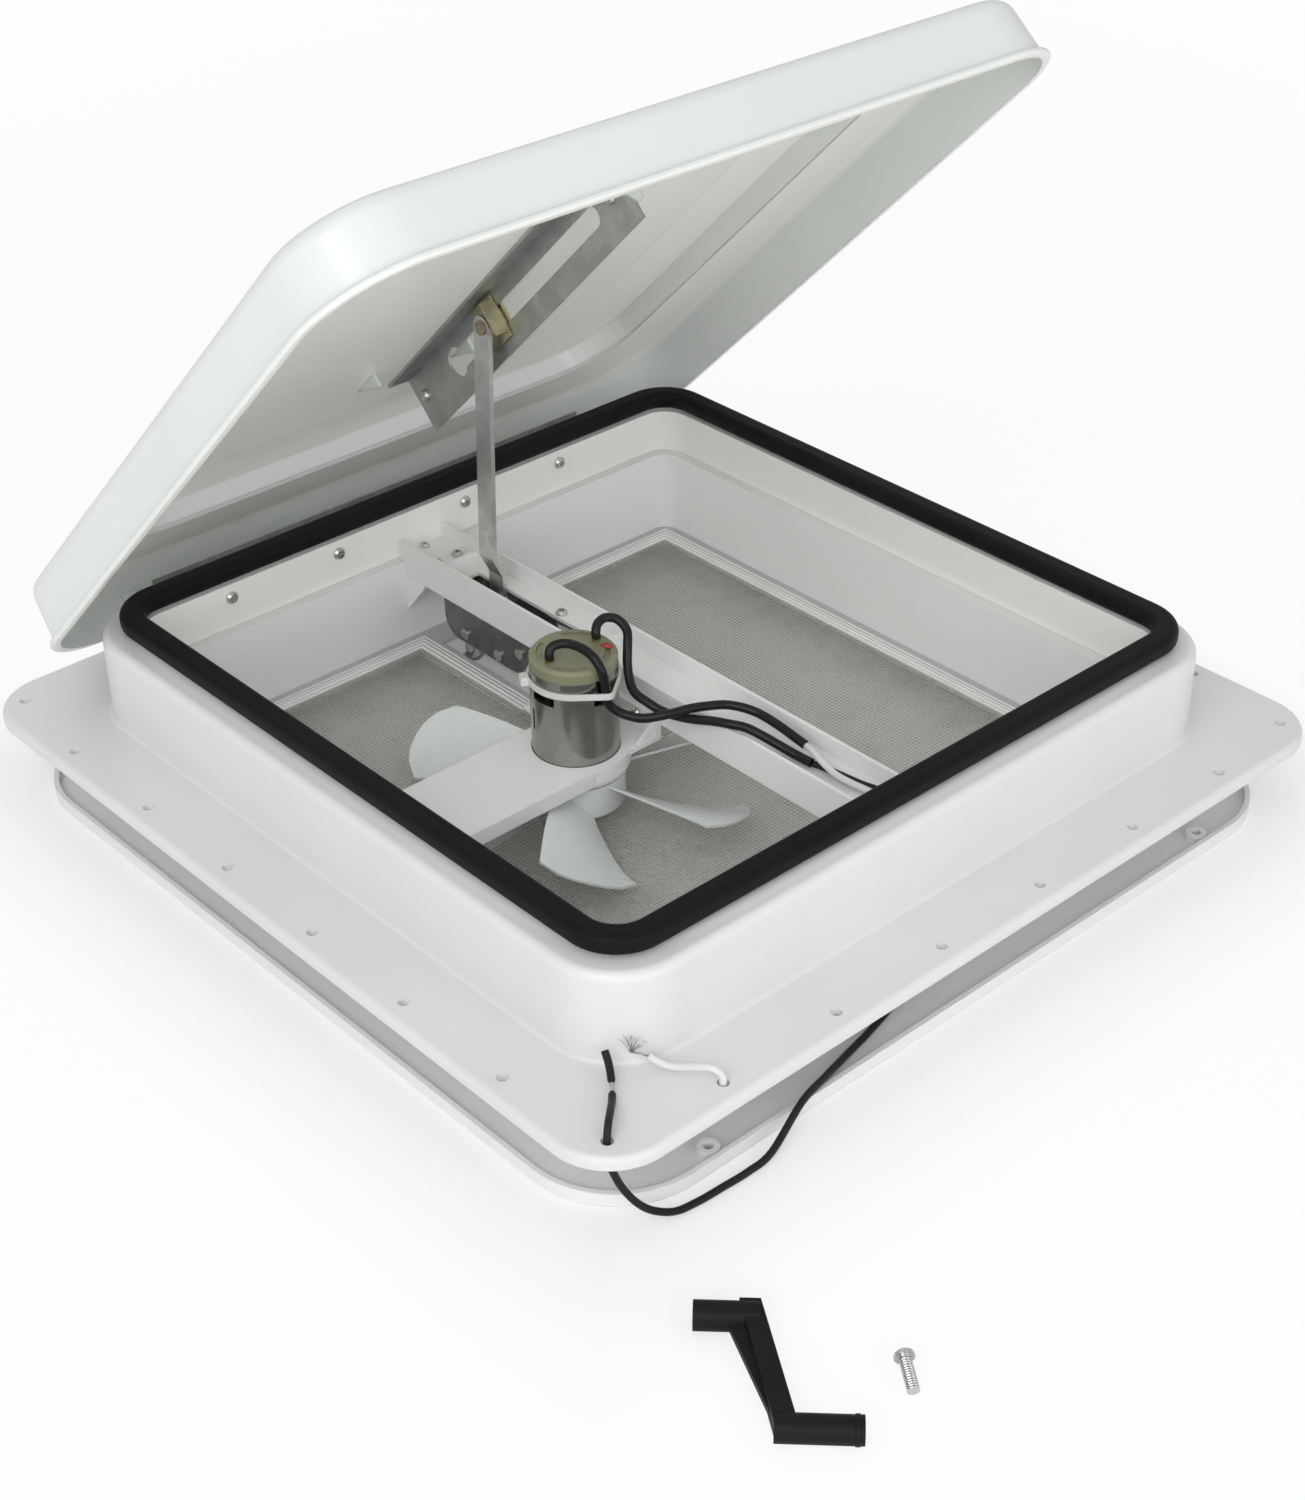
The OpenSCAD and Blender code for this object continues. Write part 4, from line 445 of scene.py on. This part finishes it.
# Hinge: two rolled steel leaves on one long pin, outside the hinge wall.
# Screws hold the lower leaf to the upstand and rivets hold the upper one to the lid.
galvanised = dress("galvanised", metal, {"Colour": (0.72, 0.735, 0.725, 1), "Stain": (0.46, 0.47, 0.455, 1),
                                         "Rough": 0.36, "Spangle": 170.0, "Streak": 0.35}, Metallic=1.0)
paint(galvanised, "base_leaf", "lid_leaf", "hinge_pin")
zinc_screw = dress("zinc_screw", metal, {"Colour": (0.70, 0.70, 0.68, 1), "Stain": (0.42, 0.41, 0.38, 1),
                                         "Rough": 0.24, "Spangle": 900.0, "Streak": 0.6}, Metallic=1.0)
paint(zinc_screw, "hinge_screws", "lid_rivets", "rail_screws", "channel_screws", "mount_screws")


# Lift rail and lift arm: galvanised strip, slotted and joggled.
# The rail is screwed under the lid, and the arm swings on the operator's pivot.
rail_steel = dress("rail_steel", metal, {"Colour": (0.54, 0.545, 0.535, 1), "Stain": (0.34, 0.34, 0.33, 1),
                                         "Rough": 0.44, "Spangle": 130.0, "Streak": 0.3}, Metallic=1.0)
paint(rail_steel, "lift_rail")
paint(galvanised, "lift_arm", "pivot_pin")


# Slider: yellow-passivated pressing that runs in the rail's slot, with a riveted pin through the arm.
# The plating is worn paler where it rubs.
yellow_zinc = dress("yellow_zinc", metal, {"Colour": (0.58, 0.53, 0.34, 1), "Stain": (0.36, 0.33, 0.22, 1),
                                           "Rough": 0.34, "Spangle": 260.0, "Streak": 0.4}, Metallic=1.0)
pin_brown = dress("pin_brown", metal, {"Colour": (0.46, 0.36, 0.25, 1), "Stain": (0.25, 0.20, 0.15, 1),
                                       "Rough": 0.36, "Spangle": 800.0, "Streak": 0.5}, Metallic=1.0)
paint(yellow_zinc, "slider")
paint(pin_brown, "slider_pin")


# Operator: two dark steel plates under the channel, riveted through spacers.
# Between them the crank's worm turns the arm's toothed sector in two plain bushes.
operator_steel = dress("operator_steel", metal, {"Colour": (0.26, 0.265, 0.27, 1), "Stain": (0.15, 0.15, 0.15, 1),
                                                 "Rough": 0.42, "Spangle": 140.0, "Streak": 0.4}, Metallic=1.0)
paint(operator_steel, "operator_plate_near", "operator_plate_far")
paint(zinc_screw, "operator_rivets", "pivot_spacers", "spindle_clip", "crank_spindle", "motor_shaft")
brass = dress("brass", metal, {"Colour": (0.66, 0.50, 0.22, 1), "Stain": (0.40, 0.30, 0.14, 1),
                               "Rough": 0.30, "Spangle": 700.0, "Streak": 0.5}, Metallic=1.0)
paint(brass, "worm", "motor_terminals")
nylon = dress("natural_nylon", moulded, {"Colour": (0.72, 0.70, 0.64, 1), "Shade": (0.60, 0.58, 0.52, 1),
                                         "Rough": 0.40, "Grain": 600.0, "Depth": 0.05})
paint(nylon, "spindle_bushes")


# Motor: drawn steel can with an olive plastic end cap folded in, standing on the mount's seat.
# A white nylon tie round the can holds the left lead, and a dab of red paint marks one terminal.
motor_steel = dress("motor_steel", metal, {"Colour": (0.37, 0.37, 0.355, 1), "Stain": (0.22, 0.215, 0.20, 1),
                                           "Rough": 0.22, "Spangle": 320.0, "Streak": 0.7}, Metallic=1.0)
paint(motor_steel, "motor_can")
olive = dress("olive_plastic", moulded, {"Colour": (0.27, 0.275, 0.18, 1), "Shade": (0.17, 0.15, 0.085, 1),
                                         "Rough": 0.30, "Grain": 500.0, "Depth": 0.06})
paint(olive, "motor_cap")
tie_white = dress("tie_nylon", moulded, {"Colour": (0.80, 0.80, 0.77, 1), "Shade": (0.70, 0.70, 0.67, 1),
                                         "Rough": 0.34, "Grain": 900.0, "Depth": 0.3})
tie_tree = tie_white.node_tree
motor_axis = (-0.049, -0.006, 0.0)
tie_ribs = 150.0
tie_place = add(tie_tree, "ShaderNodeMapping", {"Vector": add(tie_tree, "ShaderNodeTexCoord").outputs["Object"],
                                                "Location": [-v for v in motor_axis]})
tie_round = add(tie_tree, "ShaderNodeTexGradient", {"Vector": tie_place.outputs[0]}, gradient_type="RADIAL")
tie_count = add(tie_tree, "ShaderNodeMath", {0: tie_round.outputs["Fac"], 1: tie_ribs}, operation="MULTIPLY")
tie_teeth = add(tie_tree, "ShaderNodeMath", {0: tie_count.outputs[0], 1: 0.5}, operation="PINGPONG")
tie_skin = tie_tree.nodes["Principled BSDF"]
tie_bump = add(tie_tree, "ShaderNodeBump", {"Height": tie_teeth.outputs[0], "Strength": 0.6, "Distance": 0.0008,
                                            "Normal": tie_skin.inputs["Normal"].links[0].from_socket})
tie_tree.links.new(tie_bump.outputs[0], tie_skin.inputs["Normal"])
paint(tie_white, "zip_tie")
dab_red = dress("dab_red", moulded, {"Colour": (0.42, 0.018, 0.008, 1), "Shade": (0.26, 0.012, 0.006, 1),
                                     "Rough": 0.22, "Grain": 900.0, "Depth": 0.2})
dab_rings = [(0.2, 0.0013), (0.45, 0.0012), (0.8, 0.0008), (1.0, -0.00005)]
dab_x, dab_y, cap_top = -0.0352, -0.0134, 0.057
dab_long, dab_short, dab_sides = 0.0019, 0.0012, 18
dab_verts, dab_faces = [], []
for share, high in dab_rings:
    for k in range(dab_sides):
        turn = math.tau * k / dab_sides
        reach = share * (1 + 0.16 * math.sin(2 * turn + 0.6) + 0.10 * math.sin(3 * turn))
        dab_verts.append((dab_x + reach * (dab_long * math.cos(turn) - dab_short * math.sin(turn)),
                          dab_y + reach * (-dab_long * math.cos(turn) - dab_short * math.sin(turn)), cap_top + high))
for ring in range(len(dab_rings) - 1):
    for k in range(dab_sides):
        here, there = ring * dab_sides + k, ring * dab_sides + (k + 1) % dab_sides
        dab_faces.append((there, there + dab_sides, here + dab_sides, here))
dab_faces.append(tuple(reversed(range(dab_sides))))
dab_mesh = bpy.data.meshes.new("terminal_dab")
dab_mesh.from_pydata(dab_verts, [], dab_faces)
for face in dab_mesh.polygons:
    face.use_smooth = True
dab = bpy.data.objects.new("terminal_dab", dab_mesh)
scene.collection.objects.link(dab)
dab_mesh.materials.append(dab_red)
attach(dab, "base")


# Garnish ring: white moulding that frames the opening inside and holds the screen's frame.
# Screwed up from below at four bosses; greyer here because it lies in the flange's shade.
garnish_white = dress("garnish_white", moulded, {"Colour": (0.83, 0.835, 0.835, 1), "Shade": (0.79, 0.795, 0.79, 1),
                                                 "Rough": 0.38, "Grain": 800.0, "Depth": 0.05})
paint(garnish_white, "garnish_ring")


# Insect screen: plain-woven grey wire held in a flat moulded frame with a notch for the operator.
# Four fine pale beads run round the frame with mitred corners.
# Warp and weft are separate thin wires that cross at their tangent.
screen_grey = dress("screen_frame_grey", moulded, {"Colour": (0.55, 0.555, 0.55, 1), "Shade": (0.46, 0.465, 0.46, 1),
                                                   "Rough": 0.42, "Grain": 700.0, "Depth": 0.06})
paint(screen_grey, "screen_frame")
bead_silver = dress("screen_bead", metal, {"Colour": (0.94, 0.945, 0.93, 1), "Stain": (0.80, 0.80, 0.79, 1),
                                           "Rough": 0.30, "Spangle": 500.0, "Streak": 0.5})
screen_open, notch_half, notch_from, frame_top = 0.1532, 0.018, 0.050, -0.02505
bead_rows = ((0.0012, 0.0009), (0.0038, 0.0009), (0.0062, 0.0006), (0.0085, 0.0006))
for ring, (off, thick) in enumerate(bead_rows):
    far, side, near = screen_open + off, notch_half - off, notch_from + off
    turns = [(-far, -far), (far, -far), (far, far), (side, far),
             (side, near), (-side, near), (-side, far), (-far, far)]
    bead_verts, bead_faces = [], []
    for k, (x, y) in enumerate(turns):
        before, after = Vector(turns[k - 1]), Vector(turns[(k + 1) % len(turns)])
        here = Vector((x, y))
        into, away = (here - before).normalized(), (after - here).normalized()
        miter = Vector((into.y + away.y, -into.x - away.x))
        for wide, high in ((-1, 0), (-0.6, 0.75), (0, 1), (0.6, 0.75), (1, 0)):
            spot = here + miter * (wide * thick)
            bead_verts.append((spot.x, spot.y, frame_top + high * thick))
    for k in range(len(turns)):
        for j in range(5):
            n, m = (k + 1) % len(turns), (j + 1) % 5
            bead_faces.append((k * 5 + m, n * 5 + m, n * 5 + j, k * 5 + j))
    bead_mesh = bpy.data.meshes.new("screen_bead_%d" % ring)
    bead_mesh.from_pydata(bead_verts, [], bead_faces)
    bead = bpy.data.objects.new("screen_bead_%d" % ring, bead_mesh)
    scene.collection.objects.link(bead)
    bead_mesh.materials.append(bead_silver)
    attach(bead, "base")
weave_skin = dress("weave_wire", metal, {"Colour": (0.66, 0.65, 0.60, 1), "Stain": (0.46, 0.45, 0.42, 1),
                                         "Rough": 0.40, "Spangle": 400.0, "Streak": 0.5}, Metallic=0.3)
weave_half = 0.1536
weave_pitch = 0.0021
weave_wire = 0.00027
weave_z = -0.02595
notch_x, notch_y = 0.0176, 0.0504
weave_verts, weave_faces = [], []
count = int(weave_half / weave_pitch)
corner = 0.003
for axis in (0, 1):
    lift = weave_wire if axis else -weave_wire
    for k in range(-count, count + 1):
        at = k * weave_pitch
        reach = weave_half
        if abs(at) > weave_half - corner:
            reach -= corner - math.sqrt(max(corner ** 2 - (abs(at) - weave_half + corner) ** 2, 0.0))
        runs = [(-reach, reach)]
        if axis == 1 and abs(at) < notch_x:
            runs = [(-reach, notch_y)]
        if axis == 0 and at > notch_y:
            runs = [(-reach, -notch_x), (notch_x, reach)]
        for low, high in runs:
            base = len(weave_verts)
            for end in (low, high):
                for across, up in ((-1, 0), (0, -1), (1, 0), (0, 1)):
                    point = [0, 0, weave_z + lift + up * weave_wire]
                    point[axis] = end
                    point[1 - axis] = at + across * weave_wire
                    weave_verts.append(point)
            wire = [(base + s, base + (s + 1) % 4, base + 4 + (s + 1) % 4, base + 4 + s) for s in range(4)]
            wire += [tuple(range(base + 3, base - 1, -1)), tuple(range(base + 4, base + 8))]
            weave_faces += [face[::-1] for face in wire] if axis else wire
weave_mesh = bpy.data.meshes.new("screen_weave")
weave_mesh.from_pydata(weave_verts, [], weave_faces)
weave = bpy.data.objects.new("screen_weave", weave_mesh)
scene.collection.objects.link(weave)
weave_mesh.materials.append(weave_skin)
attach(weave, "base")
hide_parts("screen_mesh")


# Crank handle: black moulded crank with a turning grip, lying on the floor in front.
# Its socket pushes on the spindle's end and is held there by the loose screw beside it.
handle_black = dress("handle_black", moulded, {"Colour": (0.007, 0.007, 0.008, 1), "Shade": (0.012, 0.012, 0.012, 1),
                                               "Rough": 0.45, "Grain": 1200.0, "Depth": 0.06},
                     Specular_IOR_Level=0.14)
paint(handle_black, "crank_handle")
screw_bright = dress("screw_bright", metal, {"Colour": (0.66, 0.67, 0.66, 1), "Stain": (0.42, 0.43, 0.42, 1),
                                             "Rough": 0.22, "Spangle": 900.0, "Streak": 0.6}, Metallic=1.0)
screw_tree = screw_bright.node_tree
screw_head, screw_axis = (-0.1817, -0.3390, -0.0395), (-0.5556, -0.8240, -0.1103)
ridges_per_metre = 950.0
screw_from = add(screw_tree, "ShaderNodeVectorMath", {0: add(screw_tree, "ShaderNodeTexCoord").outputs["Object"],
                                                      1: screw_head}, operation="SUBTRACT")
screw_along = add(screw_tree, "ShaderNodeVectorMath", {0: screw_from.outputs[0], 1: screw_axis},
                  operation="DOT_PRODUCT").outputs["Value"]
screw_turns = add(screw_tree, "ShaderNodeMath", {0: screw_along, 1: ridges_per_metre}, operation="MULTIPLY")
screw_ridge = add(screw_tree, "ShaderNodeMath", {0: screw_turns.outputs[0], 1: 0.5}, operation="PINGPONG")
screw_depth = add(screw_tree, "ShaderNodeMath", {0: screw_ridge.outputs[0],
                                                 1: span(screw_tree, screw_along, 0.0005, 0.0012, 0.0, 1.0)},
                  operation="MULTIPLY")
screw_skin = screw_tree.nodes["Principled BSDF"]
screw_bump = add(screw_tree, "ShaderNodeBump", {"Height": screw_depth.outputs[0], "Strength": 0.9, "Distance": 0.0009,
                                                "Normal": screw_skin.inputs["Normal"].links[0].from_socket})
screw_tree.links.new(screw_bump.outputs[0], screw_skin.inputs["Normal"])
paint(screw_bright, "handle_screw")
